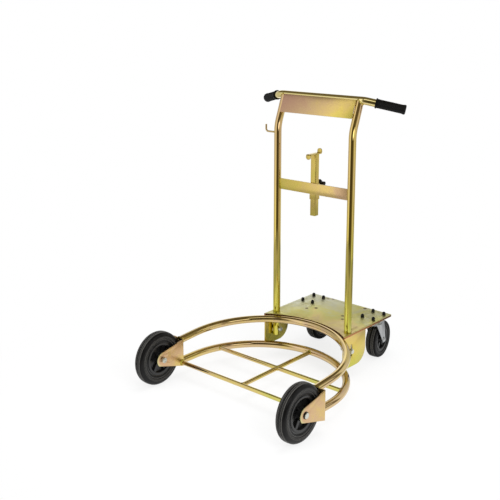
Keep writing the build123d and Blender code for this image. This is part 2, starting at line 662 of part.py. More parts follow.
def castor():
    """One castor's swivelling and rolling pieces about the swivel axis, trailing to the rear."""
    hub = Pos(0, CASTOR_TRAIL, castor_wheel_r)
    half = castor_gap / 2
    ball_z = (upper_race_z + lower_race_z) / 2
    bolt_l = 2 * castor_half + NUT_SHARE * CASTOR_AXLE_D
    ring_w = CASTOR_TYRE_W * RIM_SHARE
    bore = CASTOR_SLEEVE_D + 2 * RUN_GAP
    axle_bore = CASTOR_AXLE_D + 2 * RUN_GAP
    return {
        "castor_fork": castor_fork(),
        "castor_balls": Pos(0, 0, ball_z) * ball_ring(),
        "castor_axle": hub * (facing((castor_half, 0, 0), (-1, 0, 0)) * hex_bolt(CASTOR_AXLE_D, bolt_l)),
        "castor_axle_nut": hub * (facing((-castor_half, 0, 0), (-1, 0, 0)) * hex_nut(CASTOR_AXLE_D)),
        "castor_axle_sleeve": hub * pipe((-half, 0, 0), (half, 0, 0), CASTOR_SLEEVE_D, axle_bore),
        "castor_tyre": hub * tyre(CASTOR_WHEEL_D, CASTOR_RIM_D + 2 * RUN_GAP, CASTOR_TYRE_W,
                                  CASTOR_TREAD_SHARE, CASTOR_SHOULDER_DROP),
        "castor_rim": hub * rim(CASTOR_RIM_D, CASTOR_RIM_BORE_D, ring_w, RIM_WEB_T,
                                CASTOR_HUB_D, CASTOR_HUB_L, bore),
    }


def castor_fasteners():
    """Bolts of the right castor from below and their capped nuts on the deck."""
    thread = CASTOR_BOLT_D
    nut_h = NUT_SHARE * thread
    tail = DECK_T + CASTOR_PLATE_T + nut_h
    cap = extrude(Circle(thread * CAP_SHARE / 2), thread * CAP_RISE_SHARE)
    cap = chamfer(cap.edges().sort_by(Axis.Z)[-1], thread * CAP_RISE_SHARE / 2)
    nut = hex_nut(thread) + Pos(0, 0, nut_h) * cap
    bolt = Pos(0, 0, plate_bottom) * hex_bolt(thread, tail)
    return {
        "castor_bolts": at_castor_bolts(bolt, castor_x, castor_y),
        "castor_nuts": at_castor_bolts(Pos(0, 0, deck_top) * nut, castor_x, castor_y),
    }


parts = {
    "platform": deck(),
    "upper_ring": upper_ring,
    "lower_ring": lower_ring,
    "handlebar": handlebar,
    "handle_plate": handle_plate(),
    "cross_bar": cross_bar(),
    "hose_hook": hose_hook(),
    **floor_rods(),
    **drum_catch(),
}

paired = {"cheek": cheek(), "fork": fork(), "upright": upright(), "grip": grip(), **front_wheel()}
for name, piece in paired.items():
    parts[f"right_{name}"] = piece
    parts[f"left_{name}"] = mirror(piece, about=Plane.YZ)

castor_place = Pos(castor_x, castor_y, 0)
for name, piece in castor_mount().items():
    parts[f"right_{name}"] = castor_place * piece
    parts[f"left_{name}"] = mirror(castor_place * piece, about=Plane.YZ)
for name, piece in castor().items():
    parts[f"right_{name}"] = castor_place * (Rot(0, 0, CASTOR_TURN) * piece)
    parts[f"left_{name}"] = mirror(castor_place * piece, about=Plane.YZ)

for name, pieces in {**front_axle(), **cheek_fasteners(), **castor_fasteners()}.items():
    parts[name] = both_sides(*pieces)

os.makedirs("parts", exist_ok=True)
for name, shape in parts.items():
    export_step(shape, f"parts/{name}.step")
print(len(parts), "nodes")
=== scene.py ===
# %% [markdown]
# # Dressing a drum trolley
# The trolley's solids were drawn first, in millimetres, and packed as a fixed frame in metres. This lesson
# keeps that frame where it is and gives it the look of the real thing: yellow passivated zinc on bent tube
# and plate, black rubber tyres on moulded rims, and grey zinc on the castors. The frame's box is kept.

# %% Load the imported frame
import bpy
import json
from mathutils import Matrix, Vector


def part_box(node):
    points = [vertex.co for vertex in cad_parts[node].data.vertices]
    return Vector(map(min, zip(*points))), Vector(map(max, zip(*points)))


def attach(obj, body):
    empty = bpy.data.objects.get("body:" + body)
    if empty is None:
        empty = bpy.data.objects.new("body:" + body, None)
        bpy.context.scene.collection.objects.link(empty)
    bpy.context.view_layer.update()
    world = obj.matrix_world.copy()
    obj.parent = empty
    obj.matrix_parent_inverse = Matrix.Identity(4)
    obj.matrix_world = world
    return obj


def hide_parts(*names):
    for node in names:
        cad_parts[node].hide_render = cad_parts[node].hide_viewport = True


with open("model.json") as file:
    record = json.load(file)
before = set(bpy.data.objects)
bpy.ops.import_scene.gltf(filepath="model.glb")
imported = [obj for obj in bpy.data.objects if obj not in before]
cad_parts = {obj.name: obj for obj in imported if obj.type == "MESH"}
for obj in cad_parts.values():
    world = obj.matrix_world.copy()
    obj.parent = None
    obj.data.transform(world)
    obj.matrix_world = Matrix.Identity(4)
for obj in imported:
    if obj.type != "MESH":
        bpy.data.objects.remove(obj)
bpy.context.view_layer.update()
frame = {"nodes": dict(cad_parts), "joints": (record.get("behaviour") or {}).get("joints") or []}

# %% [markdown]
# Every place in this lesson is read from the frame, so a piece goes where the solid says. A tube's radius
# and a plate's edge come from two corners of a node's box, and a wheel's middle and axle come from its
# joint.

# %% Places measured on the frame
import json
import math

import bmesh
import bpy
from mathutils import Matrix, Vector

scene = bpy.context.scene
SIDES = {"left": -1, "right": 1}
X, Y, Z = Vector((1, 0, 0)), Vector((0, 1, 0)), Vector((0, 0, 1))
joints = {joint["name"]: joint for joint in frame["joints"]}


def middle(node):
    """Middle of a node's box."""
    low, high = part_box(node)
    return (low + high) / 2


def extent(node):
    """Size of a node's box."""
    low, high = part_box(node)
    return high - low


RING_TILT = math.radians(3.8)
tube_r = extent("lower_ring").z / 2
ring_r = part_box("lower_ring")[1].x - tube_r
ring_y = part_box("lower_ring")[1].y - tube_r - ring_r
lower_z = middle("lower_ring").z
upper_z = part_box("upper_ring")[1].z - tube_r - ring_r * math.sin(RING_TILT)
upright_x = middle("right_upright").x
upright_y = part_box("right_upright")[0].y + tube_r
print("tube radius", round(tube_r, 4), "ring radius", round(ring_r, 4), "ring middle y", round(ring_y, 4))

# %% [markdown]
# Finishes and shapes are both node trees. Wiring them one socket at a time makes long code, so two small
# classes do it. A Wire is a value on its way out of a node, and sums on wires add Math nodes. A Board is a
# tree under construction, with one method that adds any node: its settings first, then its sockets.

# %% Wires
class Wire:
    """A socket that a value comes out of. Sums on wires add Math nodes to their board."""

    def __init__(self, board, socket):
        self.board = board
        self.socket = socket

    def maths(self, operation, first, second=0.0):
        return self.board.node("ShaderNodeMath", {"operation": operation}, {0: first, 1: second})

    def __add__(self, other):
        return self.maths("ADD", self, other)

    def __radd__(self, other):
        return self.maths("ADD", other, self)

    def __sub__(self, other):
        return self.maths("SUBTRACT", self, other)

    def __rsub__(self, other):
        return self.maths("SUBTRACT", other, self)

    def __mul__(self, other):
        return self.maths("MULTIPLY", self, other)

    def __rmul__(self, other):
        return self.maths("MULTIPLY", other, self)

    def __truediv__(self, other):
        return self.maths("DIVIDE", self, other)

    def __rtruediv__(self, other):
        return self.maths("DIVIDE", other, self)

    def __abs__(self):
        return self.maths("ABSOLUTE", self)

    def one(self, operation):
        """A sum of this wire alone, such as SINE, FLOOR or FRACT."""
        return self.maths(operation, self)

    def least(self, other):
        return self.maths("MINIMUM", self, other)

    def most(self, other):
        return self.maths("MAXIMUM", self, other)

    def out(self, name):
        """Another output of the node that this wire comes from."""
        return Wire(self.board, self.socket.node.outputs[name])


print("wires are ready")

# %% [markdown]
# A board's method for any node returns a wire, so nodes can be written inside each other. The few that
# this lesson needs often get short names: an even and a smooth change, sums of vectors, and a mix of two
# colours.

# %% Boards
class Board:
    """A node tree under construction."""

    def __init__(self, tree):
        self.tree = tree

    def node(self, kind, settings=None, sockets=None, out=0):
        made = self.tree.nodes.new(kind)
        for name, value in (settings or {}).items():
            if name == "stops":
                self.fill_ramp(made.color_ramp, value)
            else:
                setattr(made, name, value)
        self.join(made, sockets or {})
        return Wire(self, made.outputs[out])

    def join(self, made, sockets):
        """Links wires to a node's sockets, and sets the sockets that get plain values."""
        for key, value in sockets.items():
            if isinstance(value, Wire):
                self.tree.links.new(value.socket, made.inputs[key])
            else:
                made.inputs[key].default_value = value

    def fill_ramp(self, ramp, stops):
        while len(ramp.elements) < len(stops):
            ramp.elements.new(1.0)
        for element, (position, colour) in zip(ramp.elements, stops):
            element.position = position
            element.color = colour

    def span(self, value, start, end, change="LINEAR"):
        """0 before start and 1 after end, with an even change between them."""
        return self.node("ShaderNodeMapRange", {"interpolation_type": change},
                         {"Value": value, "From Min": start, "From Max": end})

    def ease(self, value, start, end):
        """0 before start and 1 after end, with a smooth change between them."""
        return self.span(value, start, end, "SMOOTHSTEP")

    def vector(self, operation, first, second=(0, 0, 0), out="Vector"):
        return self.node("ShaderNodeVectorMath", {"operation": operation}, {0: first, 1: second}, out)

    def length(self, vector):
        return self.vector("LENGTH", vector, out="Value")

    def along(self, vector, way):
        """How far a vector goes along a direction."""
        return self.vector("DOT_PRODUCT", vector, way, "Value")

    def split(self, vector):
        return self.node("ShaderNodeSeparateXYZ", None, {0: vector}, "X")

    def mix(self, factor, first, second):
        return self.node("ShaderNodeMix", {"data_type": "RGBA"}, {0: factor, 6: first, 7: second}, 2)


print("boards are ready")

# %% [markdown]
# A finish is a material with one Principled shader. Each pattern reads Object coordinates, because every
# piece sits at the origin with its place in its mesh, so a pattern keeps its size in metres and stays on
# the steel when a wheel or a castor turns.

# %% Finishes
EVEN = (1, 1, 1)


def shade(red, green, blue):
    """Linear colour from the values that a picture would show, 0 to 255."""
    def linear(value):
        value /= 255
        return value / 12.92 if value <= 0.04045 else ((value + 0.055) / 1.055) ** 2.4
    return (linear(red), linear(green), linear(blue), 1.0)


class Finish(Board):
    """A material under construction: noises, ramps and mixes that feed its Principled shader."""

    def __init__(self, name, sockets):
        self.material = bpy.data.materials.new(name)
        self.material.use_nodes = True
        super().__init__(self.material.node_tree)
        self.shader = self.tree.nodes["Principled BSDF"]
        self.place = self.node("ShaderNodeTexCoord", out="Object")
        self.feed(sockets)

    def feed(self, sockets):
        self.join(self.shader, sockets)

    def noise(self, scale, stretch=EVEN, detail=3.0, distortion=0.0):
        where = self.node("ShaderNodeMapping", None, {"Vector": self.place, "Scale": stretch})
        return self.node("ShaderNodeTexNoise", None, {"Vector": where, "Scale": scale, "Detail": detail,
                                                      "Distortion": distortion})

    def ramp(self, value, stops):
        return self.node("ShaderNodeValToRGB", {"stops": stops}, {"Fac": value})

    def mark(self, name):
        """A value that the piece's mesh carries."""
        return self.node("ShaderNodeAttribute", {"attribute_name": name}, out="Fac")

    def bump(self, height, strength, distance):
        return self.node("ShaderNodeBump", None,
                         {"Height": height, "Strength": strength, "Distance": distance})

    def near(self, point, reach, core, stretch=EVEN):
        """1 at a point of the piece and in its core, falling to 0 at the given reach."""
        away = self.vector("MULTIPLY", self.vector("SUBTRACT", self.place, point), stretch)
        return 1 - self.ease(self.length(away), reach * core, reach)


print("finish class is ready")

# %% [markdown]
# Yellow passivation is a very thin skin on bright zinc. Where the skin is thin the steel looks lilac grey
# or green, and as it thickens the colour goes through yellow and gold to tan and rose. The finish works
# the same way: a film value drifts over each piece by a slope and soft noise, and one ramp turns it into
# colour. Painting the colours by hand would be freer, but it would not stay right from every side. Edges
# of plates are painted paler as a highlight, and read an attribute that the plates get further down.

# %% Yellow zinc
MM = 0.001
ZINC_TINTS = [
    (0.00, shade(180, 186, 180)),
    (0.20, shade(196, 194, 148)),
    (0.38, shade(208, 204, 84)),
    (0.55, shade(228, 202, 108)),
    (0.75, shade(218, 184, 138)),
    (1.00, shade(208, 164, 136)),
]
DULL = shade(176, 170, 158)
EDGE_MARK = "rubbed_edge"
EDGE_HIGHLIGHT = shade(232, 222, 190)
EDGE_HIGHLIGHT_SHARE = 0.55     # how far an edge takes the pale colour of the painted highlight
MOTTLE_FINER = 7        # the mottle is so many times finer than the clouds
MOTTLE_SHARE = 0.35     # and swings by this share of theirs
CRYSTALS = 900          # scale of the zinc's own grain
GRAIN_DEPTH = 0.5 * MM
PLAIN = (0, 0, 0)


def yellow_zinc(name, film, slope=PLAIN, about=PLAIN, swing=0.3, cloud=16, stretch=EVEN, gloss=0.2,
                dull=0.0, haze=DULL):
    """Zinc with a passivation film that drifts by a slope per metre about a point and by soft noise."""
    finish = Finish(name, {"Metallic": 1.0})
    drift = finish.noise(cloud, stretch, 3.0, 0.8)
    mottle = finish.noise(cloud * MOTTLE_FINER, stretch, 4.0)
    lean = finish.along(finish.vector("SUBTRACT", finish.place, about), slope)
    thickness = film + lean + (drift - 0.5) * swing + (mottle - 0.5) * (swing * MOTTLE_SHARE)
    grain = finish.noise(CRYSTALS, detail=2.0)
    tint = finish.mix(dull, finish.ramp(thickness, ZINC_TINTS), haze)
    # painted highlight: the bevels of plate edges are mixed towards a pale colour
    finish.colour = finish.mix(finish.mark(EDGE_MARK) * EDGE_HIGHLIGHT_SHARE, tint, EDGE_HIGHLIGHT)
    finish.feed({
        "Base Color": finish.colour,
        "Roughness": gloss * (0.7 + mottle * 0.5) + grain * 0.03,
        "Normal": finish.bump(grain + mottle * 2.0, 0.03, GRAIN_DEPTH),
    })
    return finish


print("zinc tints", len(ZINC_TINTS))

# %% [markdown]
# Each piece of the trolley hung in the zinc bath in its own way, so each kind gets its own film. The tubes
# are glossy, and the film of the uprights thickens upwards. The deck runs from gold at its front to grey
# green at the rear, under a pale haze that makes it matt. The handle plate goes from rose at the left to
# gold at the right.

# %% Kinds of yellow zinc
BROWN = shade(104, 80, 46)
PALE = shade(255, 248, 192)
UPRIGHT_FOOT = (0, 0, 0.2)
ALONG_UPRIGHT = (3.0, 3.0, 0.35)
deck_middle = middle("platform")
fork_axle = Vector(joints["right_wheel_spin"]["pos_m"])
zinc = {
    "ring": yellow_zinc("zinc_ring", 0.66, swing=0.5, cloud=9, gloss=0.05, dull=0.2),
    "upright": yellow_zinc("zinc_upright", 0.4, (0, 0, 0.38), UPRIGHT_FOOT, 0.4, 9, ALONG_UPRIGHT,
                           gloss=0.05, dull=0.03),
    "handlebar": yellow_zinc("zinc_handlebar", 0.6, cloud=12, gloss=0.04, dull=0.4, haze=PALE),
    "rod": yellow_zinc("zinc_rod", 0.54, (-0.6, 0, 0), PLAIN, 0.5, 12, gloss=0.08, dull=0.2),
    "deck": yellow_zinc("zinc_deck", 0.34, (1.0, -1.5, 0), deck_middle, 1.1, 7,
                        gloss=0.5, dull=0.4, haze=PALE),
    # the cheeks' film thickens upwards, which also paints the deck's shade as a darker tan at their tops
    "cheek": yellow_zinc("zinc_cheek", 0.52, (0, 0, 1.8), middle("right_cheek"), 0.25, 14, gloss=0.3),
    "fork": yellow_zinc("zinc_fork", 0.8, (0, -1.2, 0.5), fork_axle, 0.45, 16, gloss=0.3),
    "handle_plate": yellow_zinc("zinc_handle_plate", 0.74, (-1.5, 0, 1.2), middle("handle_plate"), 0.3, 13,
                                gloss=0.24),
    "cross_bar": yellow_zinc("zinc_cross_bar", 0.62, (0.9, 0, 0), middle("cross_bar"), 0.3, 15, gloss=0.24),
    "catch": yellow_zinc("zinc_catch", 0.52, cloud=18, gloss=0.24, dull=0.18, haze=BROWN),
    "weld": yellow_zinc("zinc_weld", 0.46, swing=0.6, cloud=60, gloss=0.3),
}
print("yellow zinc finishes", sorted(zinc))

# %% [markdown]
# The forks' plates end in a round nose about the axle, and the bath left a pale green rim along it. The
# rim is what lies outside a disc about the axle and in front of it. The disc leaves X out, so it is a bore
# through both forks, and one finish serves both sides.

# %% Pale noses of the forks
NOSE_R = 29 * MM
NOSE_CORE = 0.62        # share of the nose that keeps the plate's colour
NOSE_END = (-12 * MM, 6 * MM)   # from before the axle to behind it, the rim fades out
NOSE_SHARE = 0.8
fork = zinc["fork"]
disc = fork.near(fork_axle, NOSE_R, NOSE_CORE, (0, 1, 1))
behind = fork.split(fork.vector("SUBTRACT", fork.place, fork_axle)).out("Y")
nose_rim = (1 - disc) * (1 - fork.ease(behind, *NOSE_END))
fork.feed({"Base Color": fork.mix(nose_rim * NOSE_SHARE, fork.colour, shade(222, 222, 160))})
print("nose radius", NOSE_R)

# %% [markdown]
# The deck carries a few small marks, where tacks on its underside have heated the plate: a tan ring,
# nearly black in the middle. They are spots in the finish, because nothing stands up or is cut there.

# %% Heat marks on the deck
HEAT_MARKS = [  # x, y behind the rings' middle and reach in millimetres, and how dark
    (-101.5, 419, 8.64, 0.85), (-74.6, 446, 10.08, 1.0), (-104.6, 567, 7.92, 0.8), (-86.0, 578, 7.92, 0.8),
    (78.0, 413, 8.64, 0.85), (57.5, 443, 9.36, 0.85), (76.0, 571, 10.08, 0.9),
]
HEAT_CORE = 0.45        # share of a mark's reach that is evenly dark
BLACKENS = (0.3, 0.8)   # heat between which tan turns to black
deck = zinc["deck"]
deck_low, deck_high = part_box("platform")
heat = 0.0
for mark_x, mark_y, reach, dark in HEAT_MARKS:
    spot = Vector((mark_x * MM, ring_y + mark_y * MM, deck_high.z))
    heat = heat + deck.near(spot, reach * MM, HEAT_CORE) * dark
heat = heat.least(1.0)
scorch = deck.mix(deck.ease(heat, *BLACKENS), shade(190, 110, 36), shade(46, 20, 4))
deck_colour = deck.mix(heat, deck.colour, scorch)
print("heat marks", len(HEAT_MARKS))

# %% [markdown]
# The deck's sheared edges have taken a thicker film than its faces, and their colour also paints shade:
# brown in front and behind, as painted shade (the upper ring stands before the front edge), and at the sides
# from tan in front to a darker dusky rose at the rear. The edge is a band of height between the two faces,
# which leaves the bevels with their painted highlight free.

# %% Sheared edges of the deck
EDGE_BOTTOM = (0.3 * MM, 0.8 * MM)      # above the deck's underside
EDGE_TOP = (-1.2 * MM, -0.7 * MM)       # below its top
SIDE_BAND = (-6 * MM, -4 * MM)          # inside its sides
TAN_FRONT = -0.12                       # from the deck's middle
on_deck = deck.split(deck.place)
up = on_deck.out("Z")
sheared = deck.span(up, *(deck_low.z + off for off in EDGE_BOTTOM))
sheared = sheared * (1 - deck.span(up, *(deck_high.z + off for off in EDGE_TOP)))
at_side = deck.span(abs(on_deck), *(deck_high.x + off for off in SIDE_BAND))
rearward = deck.ease(on_deck.out("Y"), deck_middle.y + TAN_FRONT, deck_high.y)
# painted shade: brown on the front and rear edges, and a side colour that darkens towards the rear
side_film_and_shade = deck.mix(rearward, shade(206, 142, 96), shade(112, 62, 52))
edge_film_and_shade = deck.mix(at_side, shade(120, 84, 50), side_film_and_shade)
deck.feed({"Base Color": deck.mix(sheared, deck_colour, edge_film_and_shade)})
print("deck's thickness", round(deck_high.z - deck_low.z, 4))

# %% [markdown]
# The other finishes are plainer. Castor forks, bolts and washers have blue-white zinc, which is grey
# with a fine frosted grain. Rubber is near black with a dusty bloom, and painted grey as a highlight
# where a mesh marks a raised line. The castors' rubber is darker and duller, as painted shade under the
# deck. Moulded plastic is black with a satin skin, and the bearings inside the hubs are ground steel.

# %% Bright zinc, rubber, plastic and steel
HIGHLIGHT_MARK = "worn_edge"
HIGHLIGHT_GREY = shade(112, 110, 106)
HIGHLIGHT_SHARE = 0.75       # how far a highlight line takes the painted grey
FROST = 1100            # scale of the bright zinc's grain


def bright_zinc(name, light, dark, gloss):
    finish = Finish(name, {"Metallic": 1.0})
    cloud = finish.noise(45, (1, 1, 0.5), 4.0, 0.5)
    grain = finish.noise(FROST)
    finish.feed({
        "Base Color": finish.mix(cloud, dark, light),
        "Roughness": gloss + cloud * 0.15 + grain * 0.06,
        "Normal": finish.bump(grain + cloud, 0.08, GRAIN_DEPTH),
    })
    return finish.material


def black_moulding(name, body, bloom, gloss, grain_scale, grain_depth, shine=0.3):
    """Rubber or plastic: its colour, the dust on it, roughness, grain with its depth in mm, and shine."""
    finish = Finish(name, {"Specular IOR Level": shine})
    dust = finish.noise(28, EVEN, 5.0, 0.4)
    grain = finish.noise(grain_scale, EVEN, 2.0)
    tone = finish.mix(finish.ease(dust, 0.35, 0.8), body, bloom)
    finish.feed({
        # painted highlight: grey on the raised lines that a tyre's mesh marks
        "Base Color": finish.mix(finish.mark(HIGHLIGHT_MARK) * HIGHLIGHT_SHARE, tone, HIGHLIGHT_GREY),
        "Roughness": gloss + dust * 0.18,
        "Normal": finish.bump(grain, 0.25, grain_depth * MM),
    })
    return finish.material


castor_zinc = bright_zinc("bright_zinc_castor", shade(214, 216, 216), shade(164, 166, 168), 0.3)
bolt_zinc = bright_zinc("bright_zinc_bolt", shade(236, 236, 226), shade(200, 204, 192), 0.26)
bearing_steel = bright_zinc("bearing_steel", shade(176, 176, 178), shade(140, 140, 144), 0.2)
tyre_rubber = black_moulding("tyre_rubber", shade(7, 7, 7), shade(16, 15, 15), 0.28, 700, 0.3, 0.22)
# painted shade: darker, less shiny rubber than the front tyres', for the castors' place under the deck
castor_rubber = black_moulding("castor_rubber", shade(6, 6, 6), shade(14, 13, 13), 0.34, 700, 0.3, 0.12)
rim_plastic = black_moulding("rim_plastic", shade(17, 17, 17), shade(27, 27, 27), 0.2, 900, 0.2, 0.5)
grip_rubber = black_moulding("grip_rubber", shade(8, 8, 8), shade(15, 15, 15), 0.4, 800, 0.3, 0.2)
knob_plastic = black_moulding("knob_plastic", shade(10, 10, 10), shade(18, 18, 18), 0.26, 900, 0.2)
nut_black = black_moulding("nut_black", shade(8, 8, 8), shade(16, 16, 16), 0.28, 900, 0.2)
print("other finishes", len(bpy.data.materials) - len(zinc))

# %% [markdown]
# Most of the frame's own solids are already right: bent tubes, rods, sleeves and washers. They stay as
# they are and only take a finish. A node may come with several material slots, so they are emptied first.
# Names without a node are pairs, one on the left and one on the right.

# %% Finishes on the frame's own nodes
NODE_FINISHES = {
    zinc["ring"].material: ["upper_ring", "lower_ring"],
    zinc["upright"].material: ["upright"],
    zinc["handlebar"].material: ["handlebar"],
    zinc["rod"].material: ["front_rod", "cross_rod", "centre_rod_front", "centre_rod_rear", "hose_hook"],
    zinc["deck"].material: ["platform"],
    zinc["cheek"].material: ["cheek"],
    zinc["fork"].material: ["fork"],
    zinc["handle_plate"].material: ["handle_plate"],
    zinc["cross_bar"].material: ["cross_bar"],
    zinc["catch"].material: ["catch_sleeve", "catch_post", "catch_strip", "clamp_nut"],
    castor_zinc: ["castor_fork", "castor_plate", "castor_king_pin", "castor_axle", "castor_axle_nut"],
    bolt_zinc: ["axle_bolts", "axle_nuts", "cheek_bolts", "cheek_nuts", "cheek_washers", "castor_bolts",
                "clamp_screw"],
    bearing_steel: ["bearing", "castor_balls", "axle_sleeves", "castor_axle_sleeve"],
    tyre_rubber: ["tyre"],
    castor_rubber: ["castor_tyre"],
    rim_plastic: ["rim", "castor_rim"],
    grip_rubber: ["grip"],
    knob_plastic: ["clamp_knob"],
    nut_black: ["castor_nuts"],
}
dressed = 0
for material, names in NODE_FINISHES.items():
    for name in names:
        for node in [name] if name in frame["nodes"] else [f"{side}_{name}" for side in SIDES]:
            slots = frame["nodes"][node].data.materials
            slots.clear()
            slots.append(material)
            dressed += 1
print("dressed nodes", dressed, "of", len(frame["nodes"]))

# %% [markdown]
# Wheels, knobs and bolts are turned shapes, and welds and grips follow a line. Rules like these suit
# Geometry Nodes: a Shape is such a tree with named inputs. It ends by making instances real and setting
# the material, because only plain meshes leave Blender.

# %% Shapes grown by Geometry Nodes
class Shape(Board):
    """A Geometry Nodes tree under construction, with named inputs."""

    def __init__(self, name, inputs):
        super().__init__(bpy.data.node_groups.new(name, "GeometryNodeTree"))
        kinds = {"Geometry": "NodeSocketGeometry", **inputs, "Material": "NodeSocketMaterial"}
        for label, kind in kinds.items():
            self.tree.interface.new_socket(label, in_out="INPUT", socket_type=kind)
        self.tree.interface.new_socket("Geometry", in_out="OUTPUT", socket_type="NodeSocketGeometry")
        source = self.tree.nodes.new("NodeGroupInput")
        self.given = {label: Wire(self, source.outputs[label]) for label in kinds}

    def sweep(self, line, corners, radius):
        """A round bar along a line, with its own radius at each point."""
        ring = self.node("GeometryNodeCurvePrimitiveCircle", None,
                         {"Resolution": corners, "Radius": 1.0}, "Curve")
        return self.node("GeometryNodeCurveToMesh", None,
                         {"Curve": line, "Profile Curve": ring, "Scale": radius, "Fill Caps": True})

    def close(self, geometry):
        real = self.node("GeometryNodeRealizeInstances", None, {"Geometry": geometry})
        smooth = self.node("GeometryNodeSetShadeSmooth", None, {"Geometry": real})
        done = self.node("GeometryNodeSetMaterial", None,
                         {"Geometry": smooth, "Material": self.given["Material"]})
        self.join(self.tree.nodes.new("NodeGroupOutput"), {"Geometry": done})
        return self


print("shape class is ready")

# %% [markdown]
# A tree runs as a modifier. grow() sets the inputs by their identifiers, lets the tree run once and keeps
# the result as an ordinary mesh, so no modifier is left on the piece. fit() then hangs the piece on its
# body, and says which solids it stands for.

# %% Pieces from shapes
SHARP = math.radians(34)


def grow(name, shape, start, values):
    """Object with the plain mesh that a shape's tree makes from a start mesh."""
    piece = bpy.data.objects.new(name, start)
    scene.collection.objects.link(piece)
    modifier = piece.modifiers.new("shape", "NODES")
    modifier.node_group = shape.tree
    for item in shape.tree.interface.items_tree:
        if item.in_out == "INPUT" and item.name in values:
            modifier[item.identifier] = values[item.name]
    mesh = bpy.data.meshes.new_from_object(piece.evaluated_get(bpy.context.evaluated_depsgraph_get()))
    piece.modifiers.remove(modifier)
    piece.data = mesh
    mesh.name = name
    mesh.set_sharp_from_angle(angle=SHARP)
    return piece


def fit(piece, body, slot, *nodes):
    """The piece rides on a body and stands for the named nodes, which it hides. The slot is not used."""
    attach(piece, body)
    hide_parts(*nodes)
    print(piece.name, "faces", len(piece.data.polygons))


print("pieces are sharp from", SHARP)

# %% [markdown]
# A turned shape is a grid rolled up: each column of the grid is a copy of the section, carried to its
# angle round the axle. The section comes in as points, along the axle and out from it, and Sample Index
# looks up the point of each row. The Screw modifier could spin a section too, but here a rule may also
# change the section with the angle, which gives spokes, lobes and hexagons. A section's third value is for
# that rule, or it is kept as a mark on the mesh, as on the tyres.

# %% Turned shapes
TURN = 2 * math.pi
MERGE = 0.01 * MM       # closes the rolled grid's seam and its poles


def turned(name, inputs, rule, mark=None):
    """Tree that turns a section about the X axis. The rule gives along, out and angle of a point."""
    shape = Shape(name, {"Rows": "NodeSocketInt", "Columns": "NodeSocketInt", **inputs})
    rows = shape.given["Rows"]
    columns = shape.given["Columns"]
    sheet = shape.node("GeometryNodeMeshGrid", None, {"Vertices X": columns + 1, "Vertices Y": rows})
    index = shape.node("GeometryNodeInputIndex")
    column = (index / rows).one("FLOOR")
    place = shape.node("GeometryNodeSampleIndex", {"data_type": "FLOAT_VECTOR"},
                       {"Geometry": shape.given["Geometry"], "Index": index - column * rows,
                        "Value": shape.node("GeometryNodeInputPosition")})
    row = shape.split(place)
    along, out, angle = rule(shape, row, row.out("Y"), row.out("Z"), column / columns)
    rolled = shape.node("ShaderNodeCombineXYZ", None,
                        {"X": along, "Y": out * angle.one("COSINE"), "Z": out * angle.one("SINE")})
    moved = shape.node("GeometryNodeSetPosition", None, {"Geometry": sheet, "Position": rolled})
    if mark:
        moved = shape.node("GeometryNodeStoreNamedAttribute", {"data_type": "FLOAT", "domain": "POINT"},
                           {"Geometry": moved, "Name": mark, "Value": row.out("Z") / MM})
    merged = shape.node("GeometryNodeMergeByDistance", None, {"Geometry": moved, "Distance": MERGE})
    return shape.close(merged)


def turn_piece(name, shape, rows, columns, material, point, axis, **values):
    """Turns a section, given by rows in millimetres, and sets it at a point with its X along an axis."""
    start = bpy.data.meshes.new(name)
    start.from_pydata([Vector(row) * MM for row in rows], [], [])
    values.update({"Rows": len(rows), "Columns": columns, "Material": material})
    piece = grow(name, shape, start, values)
    stand = X.rotation_difference(Vector(axis)).to_matrix().to_4x4()
    piece.data.transform(Matrix.Translation(point) @ stand)
    form = bmesh.new()
    form.from_mesh(piece.data)
    if form.calc_volume(signed=True) < 0:
        piece.data.flip_normals()
    form.free()
    return piece


def plain_rule(shape, along, out, highlight, turn):
    return along, out, turn * TURN


# the tyres' third values become the mark of their painted highlight lines
round_turned = turned("round_turned", {}, plain_rule, HIGHLIGHT_MARK)
print("turned shapes are ready")

# %% [markdown]
# The tyres are solid rubber, cast in one piece: a slightly crowned tread with two grooves, a rib along
# each of its edges, round shoulders and flat walls. The front tyres also have two fine rings on each wall.
# The section is written from the middle of the tread to the bead and mirrored, so both walls are equal.
# All four tyres are the same section in two sizes, and its third value marks the lines painted grey as
# highlights.

# %% Sections of the tyres
FOOT_SHARE = 0.9        # half width at the bead, as a share of the tyre's
TREAD_FALL = 1.5        # how much the crown falls to the tread's edge
SHOULDER_STEPS = 8
# third values: how strongly a row is painted grey as a highlight
GROOVE = [(-1.7, 0, 1), (-1.3, 0.5, 0.3), (-0.7, 2.2, 0), (0.7, 2.2, 0), (1.3, 0.5, 0.3), (1.7, 0, 1)]
EDGE_RIB = [(-1.2, 0.2, 0.2), (-0.7, 0.7, 0.7), (0.3, 0.7, 1), (0.8, -0.2, 0.4), (1.0, -1.3, 0),
            (1.9, -1.3, 0)]
WALL_RING = [(0, 1.6, 0), (0, 0.9, 0.8), (0.7, 0.4, 0), (0.7, -0.4, 0), (0, -0.9, 0.8), (0, -1.6, 0)]
WALL_FOOT = (-0.4, 9.0, 0)
BEAD = [(0.9, 6.4, 0), (0.6, 5.6, 0.8), (0, 4.4, 0), (0, 0, 0)]


